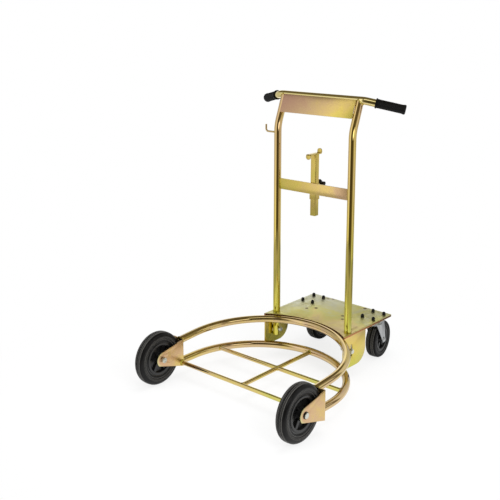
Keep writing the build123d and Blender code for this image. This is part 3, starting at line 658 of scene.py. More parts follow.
def tyre_rows(outer, inner, half, edge, drop, rings):
    """Closed section of a tyre: radii, half width, tread's edge, shoulder's drop, wall rings' radii."""
    def crown(along):
        return outer - TREAD_FALL * (along / edge) ** 2

    def moulded(along, out, profile):
        return [(along + over, out + up, highlight) for over, up, highlight in profile]

    side = [(edge * share, crown(edge * share), 0) for share in (0, 0.12, 0.24)]
    side += moulded(edge / 2, crown(edge / 2), [(over, -deep, highlight) for over, deep, highlight in GROOVE])
    side.append((edge * 0.76, crown(edge * 0.76), 0))
    side += moulded(edge, crown(edge), EDGE_RIB)
    for step in range(2, SHOULDER_STEPS + 1):
        angle = math.radians(90 * step / SHOULDER_STEPS)
        fall = drop * (1 - math.cos(angle))
        side.append((edge + (half - edge) * math.sin(angle), outer - TREAD_FALL - fall, 0))
    for radius in rings:
        side += moulded(half, radius, [(-deep, up, highlight) for deep, up, highlight in WALL_RING])
    side += moulded(half, inner, [WALL_FOOT]) + moulded(half * FOOT_SHARE, inner, BEAD)
    rows = [(-along, out, highlight) for along, out, highlight in reversed(side)] + side[1:]
    return rows + rows[:1]


WHEELS = {  # joint: prefix of its nodes, body, section, columns and rubber
    "wheel_spin": ("", "front_wheel", tyre_rows(100, 67.05, 20, 10, 14, (82.6, 78.6)), 132, tyre_rubber),
    "castor_roll": ("castor_", "castor_wheel", tyre_rows(75, 52.05, 21, 13.4, 9, ()), 108, castor_rubber),
}
print("rows of a tyre", [len(wheel[2]) for wheel in WHEELS.values()])

# %% [markdown]
# A tyre turns about its joint's axis. The joint gives the wheel's middle and that axis, so the castors'
# tyres stand in their castors' own directions.

# %% Tyres
for side in SIDES:
    for joint, (prefix, body, rows, columns, rubber) in WHEELS.items():
        axle = joints[f"{side}_{joint}"]
        piece = turn_piece(f"{side}_{prefix}tyre_cast", round_turned, rows, columns, rubber,
                           axle["pos_m"], axle["axis"])
        fit(piece, f"{side}_{body}", "tyre_rubber", f"{side}_{prefix}tyre")

# %% [markdown]
# The rims are black mouldings with six wide spokes and a deep pocket between each pair. In the section,
# every row says how far out along the axle it lies in a pocket and on a spoke. The rule crowds the columns
# at the walls of a spoke, so the walls come out straight and steep, and then it blends from one place to
# the other.

# %% Spokes
SPOKES = 6
SECTOR = TURN / SPOKES
SPOKE_SHARE = 0.22      # columns of half a spoke, as a share of a sector
POCKET_SHARE = 0.28     # where the pocket's floor starts
SPOKE_LIMIT = math.radians(22)
WALL_SLOPE = 1.2 * MM


def spoked_rule(shape, in_pocket, out, on_spoke, turn):
    sector = (turn * SPOKES + 0.5).one("FLOOR")
    off_spoke = turn * SPOKES - sector
    share = abs(off_spoke)
    edge = (shape.given["Half Spoke"] / out).one("ARCSINE").least(SPOKE_LIMIT)
    wall = WALL_SLOPE / out
    in_wall = shape.span(share, SPOKE_SHARE, POCKET_SHARE)
    rest = SECTOR / 2 - edge - wall
    turned_by = edge * shape.span(share, 0, SPOKE_SHARE) + wall * in_wall
    turned_by = turned_by + rest * shape.span(share, POCKET_SHARE, 0.5)
    angle = sector * SECTOR + turned_by * off_spoke.one("SIGN")
    return on_spoke + (in_pocket - on_spoke) * in_wall, out, angle


spoked_rim = turned("spoked_rim", {"Half Spoke": "NodeSocketFloat"}, spoked_rule)
print("spoked tree has", len(spoked_rim.tree.nodes), "nodes")

# %% [markdown]
# A rim's section goes from its seat in the tyre over a hollow lip to the ring's inside, down to the web in
# the pockets, and out again over the hub to the bore. Where spoke and pocket are level, both values are
# the same.

# %% Rims
WEB = 3.0               # half thickness of the web in the pockets
COLUMNS_SPOKE = 24


def rim_rows(outer, ring, hub, bore, half, hub_half, spoke):
    """Closed section of a rim: radii of outside, ring's inside, hub, bore, half widths, spoke's height."""
    lip = (outer - ring) / 16
    seat = [(half - 2.3, outer), (half - 0.5, outer - 0.6), (half, outer - 1.4 * lip),
            (half - 1.6, outer - 4.5 * lip), (half - 1.8, outer - 6.3 * lip), (half - 0.2, outer - 7.2 * lip),
            (half, outer - 8 * lip), (half, ring + 1.8), (half - 0.5, ring + 0.6), (half - 1.6, ring)]
    web = [(WEB + 2.2, ring, spoke + 1.2), (WEB + 0.6, ring - 0.6, spoke + 0.3), (WEB, ring - 2.2, spoke),
           (WEB, (ring + hub) / 2, spoke), (WEB, hub + 2.2, spoke), (WEB + 0.6, hub + 0.6, spoke + 0.3),
           (WEB + 2.2, hub, spoke + 1.2)]
    nave = [(hub_half - 1.0, hub), (hub_half - 0.3, hub - 0.3), (hub_half, hub - 1.0), (hub_half, bore + 0.8),
            (hub_half - 0.8, bore)]
    side = [(along, out, along) for along, out in seat] + web + [(along, out, along) for along, out in nave]
    rows = side[::-1] + [(-along, out, -on_spoke) for along, out, on_spoke in side]
    return rows + rows[:1]


RIMS = {  # section and half a spoke's width
    "wheel_spin": (rim_rows(67, 51, 23, 14, 17.2, 25, 11.4), 6.0),
    "castor_roll": (rim_rows(52, 39, 16, 7.55, 18.06, 23, 11.9), 5.0),
}
for side in SIDES:
    for joint, (rows, half_spoke) in RIMS.items():
        prefix, body = WHEELS[joint][:2]
        axle = joints[f"{side}_{joint}"]
        piece = turn_piece(f"{side}_{prefix}rim_moulded", spoked_rim, rows, COLUMNS_SPOKE * SPOKES,
                           rim_plastic, axle["pos_m"], axle["axis"], **{"Half Spoke": half_spoke * MM})
        fit(piece, f"{side}_{body}", "rim_plastic", f"{side}_{prefix}rim")

# %% [markdown]
# Bolt heads and nuts are cut from hexagon bar and then turned to a chamfer, so the tree does the same: out
# is the turned radius, but never more than the hexagon's flat allows at that angle. A second tree sets
# finished fasteners on points, each along its own direction, so a set of eight nuts is one piece.

# %% Trees for fasteners
COLUMNS_HEX = 24


def hexagon_rule(shape, along, out, spare, turn):
    side = turn * 6
    off = (side - (side + 0.5).one("FLOOR")) * (TURN / 6)
    return along, out.least(shape.given["Flats"] / 2 / off.one("COSINE")), turn * TURN


hexagon_turned = turned("hexagon_turned", {"Flats": "NodeSocketFloat"}, hexagon_rule)
scatter = Shape("set_on_points", {"Fastener": "NodeSocketObject"})
aimed = scatter.node("GeometryNodeInputNamedAttribute", {"data_type": "FLOAT_VECTOR"}, {"Name": "aim"})
facing = scatter.node("FunctionNodeAlignRotationToVector", {"axis": "X"}, {"Vector": aimed})
original = scatter.node("GeometryNodeObjectInfo", None, {"Object": scatter.given["Fastener"]}, "Geometry")
scatter.close(scatter.node("GeometryNodeInstanceOnPoints", None,
                           {"Points": scatter.given["Geometry"], "Instance": original, "Rotation": facing}))


def fasteners(name, rows, flats, material, places):
    """One piece with a copy of a fastener at each point, along each direction."""
    model = turn_piece(name + "_model", hexagon_turned, rows, COLUMNS_HEX, material, (0, 0, 0), X,
                       Flats=flats * MM)
    points = bpy.data.meshes.new(name)
    points.from_pydata([point for point, direction in places], [], [])
    aims = points.attributes.new("aim", "FLOAT_VECTOR", "POINT")
    for item, (point, direction) in zip(aims.data, places):
        item.vector = direction
    piece = grow(name, scatter, points, {"Fastener": model, "Material": material})
    bpy.data.objects.remove(model)
    return piece


print("scatter tree has", len(scatter.tree.nodes), "nodes")

# %% [markdown]
# A fastener's sizes follow from its thread, such as the width across flats and the height of a head or a
# nut. So each kind is one function of the thread that writes the rows of its section, along +X from its
# seat.

# %% Sections of bolts and nuts
FLATS = 1.6             # width across flats, as a share of the thread, as are the next two
HEAD = 0.48             # height of a bolt's head
NUT = 0.85              # height of a nut
CORNER = 0.578          # of the width across flats: from the middle to a corner
FACE = 0.475            # radius of the chamfered face
CHAMFER = 0.055         # depth of the chamfer


def hexagon_part(flats, low, high):
    """Rows of a hexagon with both of its ends chamfered."""
    chamfer = flats * CHAMFER
    return [(low, flats * FACE, 0), (low + chamfer, flats * CORNER, 0),
            (high - chamfer, flats * CORNER, 0), (high, flats * FACE, 0)]


def bolt_rows(thread, length, seat=0.0):
    """Bolt with its head on a seat, its head along +X and its shank along -X."""
    flats = FLATS * thread
    shank = thread / 2
    top = HEAD * thread
    return [(-length, 0, 0), (-length, shank - 1, 0), (1 - length, shank, 0), (seat, shank, 0),
            *hexagon_part(flats, seat, top), (top, flats * 0.44, 0), (top - 0.3, 0, 0)]


def nut_rows(thread):
    """Open nut standing on 0."""
    bore = thread / 2 + 0.05
    high = NUT * thread
    rows = [(0.6, bore, 0), (0, bore + 0.6, 0), *hexagon_part(FLATS * thread, 0, high),
            (high, bore + 0.6, 0), (high - 0.6, bore, 0)]
    return rows + rows[:1]


print("rows of a bolt", len(bolt_rows(12, 60)))

# %% [markdown]
# The deck's nuts are closed by a dome, and the castors' axles end in a dome on a flange. A dome is a
# quarter of a circle in the section. A washer is a flat ring with rounded edges.

# %% Sections of caps and washers
CAP = 0.78              # radius of a nut's domed cap, as a share of the thread
CAP_RISE = 0.8          # height of that cap


def washer_rows(bore, outer, thick):
    """Ring with rounded edges, standing on 0."""
    rows = [(0, bore, 0), (0, outer, 0), (thick - 0.6, outer, 0), (thick - 0.1, outer - 0.5, 0),
            (thick, outer - 1.2, 0), (thick, bore, 0)]
    return rows + rows[:1]


def dome(low, radius, rise):
    """Rows of a round cap."""
    steps = [math.radians(15 * step) for step in range(7)]
    return [(low + rise * math.sin(angle), radius * math.cos(angle), 0) for angle in steps]


def cap_nut_rows(thread):
    """Nut with a domed cap, standing on 0."""
    high = NUT * thread
    cap = CAP * thread
    return [(0, 0, 0), *hexagon_part(FLATS * thread, 0, high), (high, cap, 0),
            *dome(high + 1.2, cap, CAP_RISE * thread - 1.2)]


def capped_bolt_rows(thread, length):
    """Axle bolt under a domed cap on a flange."""
    return [(-length, 0, 0), (-length, thread / 2, 0), (0, thread / 2, 0), (0, thread, 0), (1.0, thread, 0),
            (1.4, thread - 0.4, 0), (1.4, 0.86 * thread, 0), *dome(1.6, 0.84 * thread, HEAD * thread - 1.6)]


print("rows of a cap nut", len(cap_nut_rows(8)))

# %% [markdown]
# The front wheels turn on zinc bolts through the forks, and a smaller pair holds the uprights in the
# cheeks' slots. Four bolts come up through each castor's plate and the deck, and black cap nuts stand on
# the deck.

# %% Places of the fasteners
AXLE_SHADE_WASHER = 2.2       # thickness of the black washers, whose black paints the shade beside the axle bolts' heads
CHEEK_WASHER = 2 * MM
CASTOR_PLATE = 3 * MM
BOLT_X, BOLT_Y = 25, 37.5       # a castor's bolts beside its king pin


def both_sides(x, y, z, direction):
    """A place on the right and its mirror image on the left."""
    return [(Vector((x, y, z)), X * direction), (Vector((-x, y, z)), X * -direction)]


fork_low, fork_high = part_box("right_fork")
fork_t = (fork_high.x - fork_low.x) / MM
bolt_y, bolt_z = middle("cheek_bolts").yz
cheek_bolt_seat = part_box("right_cheek")[1].x + CHEEK_WASHER
cheek_nut_seat = upright_x - tube_r - CHEEK_WASHER
plate_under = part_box("right_castor_plate")[1].z - CASTOR_PLATE
above, below = [], []
for side in SIDES:
    pin = Vector(joints[f"{side}_castor_swivel"]["pos_m"])
    for x in (-BOLT_X, BOLT_X):
        for y in (-BOLT_Y, BOLT_Y):
            above.append((Vector((pin.x + x * MM, pin.y + y * MM, deck_high.z)), Z))
            below.append((Vector((pin.x + x * MM, pin.y + y * MM, plate_under)), -Z))
axle_heads = both_sides(fork_high.x, fork_axle.y, fork_axle.z, 1)
cheek_length = (cheek_bolt_seat - cheek_nut_seat) / MM + 8.5
print("castor bolts", len(below), "cheek bolt", round(cheek_length, 2))

# %% [markdown]
# Each set becomes one piece in the place of its node. The front bolts' heads sit on black washers, whose
# black paints the dark shade beside each head. The washers are round, so their hexagon is too wide to cut
# them.

# %% Fasteners of the frame
ROUND = 32              # width across flats that cuts no round part here
SETS = [  # node, rows, thread, finish, slot, places
    ("axle_bolts", bolt_rows(12, fork_t + 10.2, AXLE_SHADE_WASHER), 12, bolt_zinc, "bright_zinc", axle_heads),
    ("axle_nuts", nut_rows(12), 12, bolt_zinc, "bright_zinc",
     both_sides(fork_low.x, fork_axle.y, fork_axle.z, -1)),
    ("cheek_bolts", bolt_rows(10, cheek_length), 10, bolt_zinc, "bright_zinc",
     both_sides(cheek_bolt_seat, bolt_y, bolt_z, 1)),
    ("cheek_nuts", nut_rows(10), 10, bolt_zinc, "bright_zinc",
     both_sides(cheek_nut_seat, bolt_y, bolt_z, -1)),
    ("castor_nuts", cap_nut_rows(8), 8, nut_black, "black_nut", above),
    ("castor_bolts", bolt_rows(8, 12), 8, bolt_zinc, "bright_zinc", below),
]
for node, rows, thread, material, slot, places in SETS:
    fit(fasteners(node + "_cut", rows, FLATS * thread, material, places), "frame", slot, node)
# black washers under the axle bolts' heads paint the dark shade beside each head
washers = fasteners("axle_washers", washer_rows(6.1, 12.4, AXLE_SHADE_WASHER), ROUND, nut_black, axle_heads)
fit(washers, "frame", "black_nut")

# %% [markdown]
# Each castor's axle lies in the castor's own direction, which the right one shows turned a little inwards.
# Its two ends are the same domed zinc head, so one set on two points makes both.

# %% Castor axles
CASTOR_HALF = 27 * MM   # middle of the wheel to the outside of a leg
for side in SIDES:
    axle = joints[f"{side}_castor_roll"]
    hub = Vector(axle["pos_m"])
    way = Vector(axle["axis"])
    ends = [(hub + way * CASTOR_HALF, way), (hub - way * CASTOR_HALF, -way)]
    piece = fasteners(f"{side}_castor_axle_capped", capped_bolt_rows(10, 26), ROUND, castor_zinc, ends)
    fit(piece, f"{side}_castor", "bright_zinc", f"{side}_castor_axle", f"{side}_castor_axle_nut")

# %% [markdown]
# The clamp knob is a black moulding with five lobes that the fingers hold. The same rolled grid makes it:
# where a row has lobes, out shrinks between them by a cosine of the angle, which gives round lobes and
# round hollows.

# %% Clamp knob
LOBES = 5
COLUMNS_KNOB = 80
KNOB_ROWS = [(0, 0, 0), (0, 8, 0), (0, 9.4, 0), (0.6, 10, 0), (5, 10, 0), (6, 12.6, 0.6),
             (6.2, 20, 5.1), (7, 22.4, 6.3), (8.6, 23.8, 7.1), (11, 24, 7.3), (17, 24, 7.3),
             (19.6, 23.5, 7.1), (21.4, 21.7, 6.4), (22.2, 18.9, 5), (22.4, 12.6, 0.9), (22.4, 9.4, 0),
             (22, 9, 0), (22, 8, 0), (22.6, 7.4, 0), (23, 5, 0), (23, 0, 0)]


def lobed_rule(shape, along, out, hollow, turn):
    angle = turn * TURN
    return along, out - hollow * (0.5 - 0.5 * (angle * LOBES).one("COSINE")), angle


lobed_turned = turned("lobed_turned", {}, lobed_rule)
knob_axis = Vector(joints["clamp_turn"]["pos_m"])
knob_foot = (knob_axis.x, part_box("clamp_knob")[0].y, knob_axis.z)
knob = turn_piece("clamp_knob_moulded", lobed_turned, KNOB_ROWS, COLUMNS_KNOB, knob_plastic, knob_foot, Y)
fit(knob, "clamp", "knob_plastic", "clamp_knob")

# %% [markdown]
# A grip is a rubber sleeve that follows the end of the handlebar: a flange for the thumb, a body with fine
# ribs and a round closed end. A line is drawn along the tube, and a circle is swept along it with a radius
# that depends on the distance from the flange. Ribs as bump alone would not show at the grip's outline.

# %% Shape of a grip
GRIP_LENGTH = 108 * MM
GRIP_POINTS = 220
GRIP_CORNERS = 40
GRIP_BODY, GRIP_FLANGE, GRIP_TAIL = 16.5 * MM, 18.5 * MM, 17.5 * MM     # radii
RIB_DEPTH = 0.7 * MM
FLANGE_ROUND = 1.2 * MM
END_ROUND, END_FALL = 4 * MM, 5 * MM    # how long the round end is, and how much it closes

grip_shape = Shape("ribbed_grip", {"Start": "NodeSocketVector", "End": "NodeSocketVector",
                                   "Pitch": "NodeSocketFloat"})
grip_line = grip_shape.node("GeometryNodeCurvePrimitiveLine", None,
                            {"Start": grip_shape.given["Start"], "End": grip_shape.given["End"]})
grip_line = grip_shape.node("GeometryNodeResampleCurve", None, {"Curve": grip_line, "Count": GRIP_POINTS})
from_flange = grip_shape.node("GeometryNodeSplineParameter", out="Length")
to_end = GRIP_LENGTH - from_flange
flange = 1 - grip_shape.ease(from_flange, 4.4 * MM, 5.4 * MM)
tail = 1 - grip_shape.ease(to_end, 8.4 * MM, 9.4 * MM)
ribbed = grip_shape.ease(from_flange, 9 * MM, 11 * MM) * grip_shape.ease(to_end, 12 * MM, 14 * MM)
wave = 0.5 - 0.5 * (from_flange * TURN / grip_shape.given["Pitch"]).one("COSINE")
radius = GRIP_BODY + flange * (GRIP_FLANGE - GRIP_BODY) + tail * (GRIP_TAIL - GRIP_BODY)
radius = radius - ribbed * wave * RIB_DEPTH
radius = radius - (1 - grip_shape.ease(from_flange, 0, FLANGE_ROUND)) * FLANGE_ROUND
closing = 1 - grip_shape.span(to_end, 0, END_ROUND)
radius = radius - (1 - (1 - closing * closing).one("SQRT")) * END_FALL
grip_shape.close(grip_shape.sweep(grip_line, GRIP_CORNERS, radius))
print("grip tree has", len(grip_shape.tree.nodes), "nodes")

# %% [markdown]
# The handlebar's ends sweep back and drop a little, and the grips with them. A grip's line runs through
# the middle of its solid in that direction.

# %% Grips
SWEEP_BACK = math.radians(28)
DROP = math.radians(11.5)
RIB_PITCH = 4.0 * MM
for side, sign in SIDES.items():
    way = Vector((sign * math.cos(SWEEP_BACK) * math.cos(DROP), math.sin(SWEEP_BACK) * math.cos(DROP),
                  -math.sin(DROP)))
    start = middle(f"{side}_grip") - way * GRIP_LENGTH / 2
    end = middle(f"{side}_grip") + way * GRIP_LENGTH / 2
    piece = grow(f"{side}_grip_ribbed", grip_shape, bpy.data.meshes.new("grip"),
                 {"Start": start, "End": end, "Pitch": RIB_PITCH, "Material": grip_rubber})
    fit(piece, "frame", "grip_rubber", f"{side}_grip")

# %% [markdown]
# Plates and square tubes come off a guillotine and a press, so their edges are slightly rounded. The
# frame's solids have knife edges. Each plate is copied, its loose triangles are merged and joined to flat
# faces, and its sharp edges get a narrow bevel. The bevel's faces carry the mark that the zinc reads, and
# the zinc paints them paler there as a highlight.

# %% Plates with softened edges
KNIFE = math.radians(40)
FLAT = math.radians(1.0)
SAME_POINT = 0.002 * MM


def soften(node, width, body, slot, material):
    """Bevelled copy of a node, in its place."""
    form = bmesh.new()
    form.from_mesh(frame["nodes"][node].data)
    bmesh.ops.remove_doubles(form, verts=form.verts, dist=SAME_POINT)
    bmesh.ops.dissolve_limit(form, angle_limit=FLAT, verts=form.verts, edges=form.edges)
    mark = form.faces.layers.float.new(EDGE_MARK)
    knife = [edge for edge in form.edges if edge.is_manifold and edge.calc_face_angle() > KNIFE]
    cut = bmesh.ops.bevel(form, geom=knife, offset=width * MM, offset_type="OFFSET", segments=2, profile=0.5,
                          affect="EDGES", clamp_overlap=True)
    # the bevel's faces take the mark of the zinc's painted edge highlight
    for face in cut["faces"]:
        face[mark] = 1.0
    mesh = bpy.data.meshes.new(node + "_softened")
    form.to_mesh(mesh)
    form.free()
    mesh.materials.append(material)
    mesh.shade_smooth()
    mesh.set_sharp_from_angle(angle=SHARP)
    piece = bpy.data.objects.new(node + "_softened", mesh)
    scene.collection.objects.link(piece)
    fit(piece, body, slot, node)


PLATES = {  # node: bevel in millimetres, body and finish
    "platform": (0.8, "frame", "deck"),
    "left_cheek": (0.7, "frame", "cheek"),
    "right_cheek": (0.7, "frame", "cheek"),
    "left_fork": (0.7, "frame", "fork"),
    "right_fork": (0.7, "frame", "fork"),
    "handle_plate": (0.6, "frame", "handle_plate"),
    "cross_bar": (0.7, "frame", "cross_bar"),
    "catch_sleeve": (0.4, "frame", "catch"),
    "catch_post": (0.4, "catch", "catch"),
    "catch_strip": (0.4, "catch", "catch"),
}
CASTOR_BEVEL = 0.4
for node, (width, body, kind) in PLATES.items():
    soften(node, width, body, "yellow_zinc", zinc[kind].material)
for side in SIDES:
    soften(f"{side}_castor_plate", CASTOR_BEVEL, "frame", "bright_zinc", castor_zinc)
    soften(f"{side}_castor_fork", CASTOR_BEVEL, f"{side}_castor", "bright_zinc", castor_zinc)

# %% [markdown]
# The frame's tubes, plates and bars are welded together. A weld is a row of frozen ripples along a seam.
# The seams come in as lines of a mesh, and the tree sweeps a small circle along them, thicker and thinner
# at every ripple. A row of beads would do too, but a swept ripple has no hidden faces inside. The seed
# keeps the ripples the same each run.

# %% Weld tree
WELD_STEP = 0.55 * MM
WELD_CORNERS = 8
WELD_END = 2.0 * MM     # over which a bead thins out to half
WANDER_SCALE = 220.0
UNEVEN = 0.8            # how far the ripples leave their even pitch, in ripples
LEAST, VARIES = 0.86, 0.28      # of the bead's radius
weld_shape = Shape("weld_ripples", {"Ripple": "NodeSocketFloat", "Depth": "NodeSocketFloat",
                                    "Seed": "NodeSocketFloat"})
weld_line = weld_shape.node("GeometryNodeMeshToCurve", None, {"Mesh": weld_shape.given["Geometry"]})
weld_line = weld_shape.node("GeometryNodeResampleCurve", {"mode": "LENGTH"},
                            {"Curve": weld_line, "Length": WELD_STEP})
done = weld_shape.node("GeometryNodeSplineParameter", out="Length")
whole = weld_shape.node("GeometryNodeSplineLength", out="Length")
wander = weld_shape.node("ShaderNodeTexNoise", {"noise_dimensions": "4D"},
                         {"W": weld_shape.given["Seed"], "Scale": WANDER_SCALE, "Detail": 1.0})
ripple = (done / weld_shape.given["Ripple"] + wander * UNEVEN).one("FRACT")
bead = weld_shape.node("GeometryNodeInputNamedAttribute", {"data_type": "FLOAT"}, {"Name": "bead"})
taper = 0.5 + 0.5 * weld_shape.ease(done.least(whole - done), 0, WELD_END)
swell = bead * taper * (LEAST + wander * VARIES - ripple * weld_shape.given["Depth"])
weld_shape.close(weld_shape.sweep(weld_line, WELD_CORNERS, swell))
print("weld tree has", len(weld_shape.tree.nodes), "nodes")

# %% [markdown]
# The seams are worked out from where two solids meet, and follow simple geometry. A straight stitch is two
# points. A tube standing on a plate has a circle, and a round bar that meets a tube has a saddle, which is
# that circle pushed forward until it touches the tube. Most seams have a mirror image on the other side.

# %% Seams of the rings and the floor bars
seams = []


def circle(point, first, second, radius, start=0, end=360, steps=48):
    """Points of an arc from the first arm towards the second, angles in degrees."""
    angles = [math.radians(start + (end - start) * step / steps) for step in range(steps + 1)]
    return [point + (first * math.cos(angle) + second * math.sin(angle)) * radius for angle in angles]


def seam(bead, points, paired=True):
    """Notes a seam with its bead's radius in millimetres, and its mirror image where it is one of a pair."""
    seams.append((points, bead))
    if paired:
        seams.append(([Vector((-point.x, point.y, point.z)) for point in points], bead))


def reach_ring(aside, up):
    """How far from its middle a bar meets the lower ring's inside, beside the bar's line and above it."""
    inside = ring_r - math.sqrt(tube_r ** 2 - up ** 2)
    return math.sqrt(inside ** 2 - aside ** 2)


rod_r = extent("front_rod").z / 2
front_y = middle("front_rod").y
cross_y = middle("cross_rod").y
fork_rear = fork_high.y
fork_rise = (fork_rear - ring_y) * math.tan(RING_TILT)
# Ring tubes on the forks' webs
seam(3.0, circle(Vector((ring_r, fork_rear, upper_z + fork_rise)), X, Z, tube_r, -205, 25))
seam(2.8, circle(Vector((ring_r, fork_rear, lower_z)), X, Z, tube_r))
seam(3.4, [Vector((ring_r + sign * tube_r, fork_rear, fork_high.z)) for sign in (-1, 1)])
# Front bar on the forks' inner plates, cross bar and centre bar on the lower ring
seam(4.4, circle(Vector((fork_low.x, front_y, lower_z)), Y, Z, rod_r))
cross_end = circle(Vector((0, cross_y - ring_y, 0)), Y, Z, rod_r)
seam(2.2, [Vector((reach_ring(end.y, end.z), ring_y + end.y, lower_z + end.z)) for end in cross_end])
centre_end = circle(Vector((0, 0, 0)), X, Z, rod_r)
seam(2.2, [Vector((end.x, ring_y + reach_ring(end.x, end.z), lower_z + end.z)) for end in centre_end], False)
# Centre bar between the front bar and the cross bar, and behind the cross bar
for bar_y, side_y in ((front_y, 1), (cross_y, -1), (cross_y, 1)):
    bar_end = circle(Vector((0, bar_y, lower_z)), X, Z, rod_r)
    seam(1.9, [end + Y * side_y * abs(end.x) for end in bar_end], False)
print("seams", len(seams))

# %% [markdown]
# The uprights lean back at their tops, so the seams of the handlebar and the handle plate follow that
# lean. The flat bar between the uprights carries the catch's sleeve, which has a nut welded on for the
# clamp screw.

# %% Seams of the handle and the catch
LEAN = math.radians(20.5)
NUT_SEAM_R = 8.6 * MM
lean_way = Vector((0, math.sin(LEAN), math.cos(LEAN)))
lean_across = Vector((0, math.cos(LEAN), -math.sin(LEAN)))
bar_low, bar_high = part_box("handlebar")
cross_low, cross_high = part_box("cross_bar")
sleeve_low, sleeve_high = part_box("catch_sleeve")


def upward(x, y, low, high):
    """Two points of an upright stitch."""
    return [Vector((x, y, low)), Vector((x, y, high))]


# Uprights under the handlebar
bar_axis = Vector((upright_x, bar_low.y + tube_r, bar_high.z - tube_r))
saddle = circle(Vector((0, 0, 0)), X, lean_across, tube_r)
seam(2.2, [bar_axis + end - lean_way * abs(end.x) for end in saddle])
# Flat bar on the uprights, in front and behind
inset = upright_x - math.sqrt(tube_r ** 2 - (upright_y - cross_low.y) ** 2)
for x, y in ((inset, cross_low.y), (upright_x - tube_r, cross_high.y)):
    seam(1.9, upward(x, y, cross_low.z + 1 * MM, cross_high.z - 1 * MM))
# Sleeve on the back of the flat bar, its nut, and the hook on the left upright
for x in (sleeve_low.x, sleeve_high.x):
    seam(1.9, upward(x, cross_high.y, cross_low.z + 2 * MM, sleeve_high.z - 1 * MM), False)
seam(1.5, circle(Vector((knob_axis.x, sleeve_high.y, knob_axis.z)), X, Z, NUT_SEAM_R), False)
hook_r = extent("hose_hook").y / 2
hook_end = circle(Vector((0, 0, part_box("hose_hook")[0].z + hook_r)), Y, Z, hook_r)
seam(1.6, [Vector((-upright_x - math.sqrt(tube_r ** 2 - end.y ** 2), upright_y + end.y, end.z))
           for end in hook_end], False)
print("seams", len(seams))

# %% [markdown]
# The cheeks hang below the deck on short stitches, which a real welder would set to keep the plate from
# warping. The deck lies on the upper ring, so those stitches follow the ring's outside where the deck's
# underside meets it. The handle plate has two stitches at each end, behind it.

# %% Seams of the plates
CHEEK_STITCHES = ((0.2, 0.45), (0.65, 0.95))    # shares of a cheek's length
RING_STITCHES = ((62, 70), (78, 84))            # degrees round the ring
STITCH_STEPS = 12
PLATE_STITCHES = ((9, 25), (53, 69))            # millimetres down from the handlebar's axis
PLATE_ASIDE = 7.5 * MM
plate_back = tube_r + 0.2 * MM
cheek_low, cheek_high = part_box("right_cheek")
for stitch in CHEEK_STITCHES:
    seam(2.2, [Vector((cheek_low.x, cheek_low.y + (cheek_high.y - cheek_low.y) * share, cheek_high.z))
               for share in stitch])
for start, end in RING_STITCHES:
    stitch = []
    for step in range(STITCH_STEPS + 1):
        angle = math.radians(start + (end - start) * step / STITCH_STEPS)
        ring_z = upper_z + ring_r * math.sin(angle) * math.sin(RING_TILT)
        reach = ring_r + math.sqrt(tube_r ** 2 - (deck_low.z - ring_z) ** 2)
        stitch.append(Vector((reach * math.cos(angle), ring_y + reach * math.sin(angle), deck_low.z)))
    seam(2.2, stitch)
for stitch in PLATE_STITCHES:
    seam(1.8, [bar_axis - lean_way * down * MM - lean_across * plate_back - X * PLATE_ASIDE
               for down in stitch])
print("seams", len(seams))

# %% [markdown]
# All seams of the fixed frame become one piece, and the two stitches that hold the catch's strip on its
# post become another, because the post slides.

# %% Welds
RIPPLE = {"Ripple": 2.1 * MM, "Depth": 0.22, "Seed": 4.0}


def weld(name, lines, body):
    """One piece of weld along lines of points, each with its bead's radius in millimetres."""
    points, edges, beads = [], [], []
    for line, bead in lines:
        closed = (line[0] - line[-1]).length < SAME_POINT
        line = line[:-1] if closed else line
        first = len(points)
        points += line
        beads += [bead * MM] * len(line)
        edges += [(first + step, first + step + 1) for step in range(len(line) - 1)]
        if closed:
            edges.append((len(points) - 1, first))
    mesh = bpy.data.meshes.new(name)
    mesh.from_pydata(points, edges, [])
    mesh.attributes.new("bead", "FLOAT", "POINT").data.foreach_set("value", beads)
    fit(grow(name, weld_shape, mesh, {**RIPPLE, "Material": zinc["weld"].material}), body, "yellow_zinc")


weld("frame_welds", seams, "frame")
post_low, post_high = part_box("catch_post")
strip_low, strip_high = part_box("catch_strip")
stitches = []
for x in (strip_low.x, strip_high.x):
    stitches.append(([Vector((x, y, post_high.z)) for y in (post_low.y + 2 * MM, post_high.y - 2 * MM)], 1.5))
weld("catch_welds", stitches, "catch")

# %% [markdown]
# The photograph's studio is white all round, so the eye sees plain white. Light on matt surfaces stays at
# a plain level, and what metal sees above the studio's walls is a dim ceiling, because bent tube only
# looks like metal when it has something dark to mirror.

# %% World
scene.view_settings.view_transform = "Standard"
AMBIENT = 0.5
WHITE = (1, 1, 1, 1)
WHITE_FROM = 0.6        # brightness from which a wall has no brown in it


def warm(level):
    """Colour of a studio wall: white where it is bright, and brown where it is dark."""
    bright = min(level / WHITE_FROM, 1.0)
    return (level, level * (0.82 + 0.18 * bright), level * (0.35 + 0.65 * bright), 1.0)


def light_paths(board):
    """Whether a mirror sees a surface, and whether the eye, a mirror or glass does."""
    by_eye = board.node("ShaderNodeLightPath", out="Is Camera Ray")
    by_mirror = by_eye.out("Is Glossy Ray")
    return by_mirror, by_eye.most(by_mirror).most(by_eye.out("Is Transmission Ray"))


CEILING = warm(0.15)
world = bpy.data.worlds.new("studio")
scene.world = world
world.use_nodes = True
sky = Board(world.node_tree)
mirrored, seen = light_paths(sky)
sky.join(world.node_tree.nodes["Background"], {"Color": sky.mix(mirrored, WHITE, CEILING),
                                               "Strength": seen + (1 - seen) * AMBIENT})
print("ceiling level", CEILING)

# %% [markdown]
# The walls stand near the trolley, so a tube near the floor mirrors other parts of them than the handle
# does. They are a round tent that only mirrors see: panels that are bright at the left, at the right and
# behind the trolley, with dark gaps between, each with its own height. Three patches change it where one
# piece needs it: a light above the left of the eye, a dark foot at the right, and a strip that the upper
# ring mirrors as a glint.

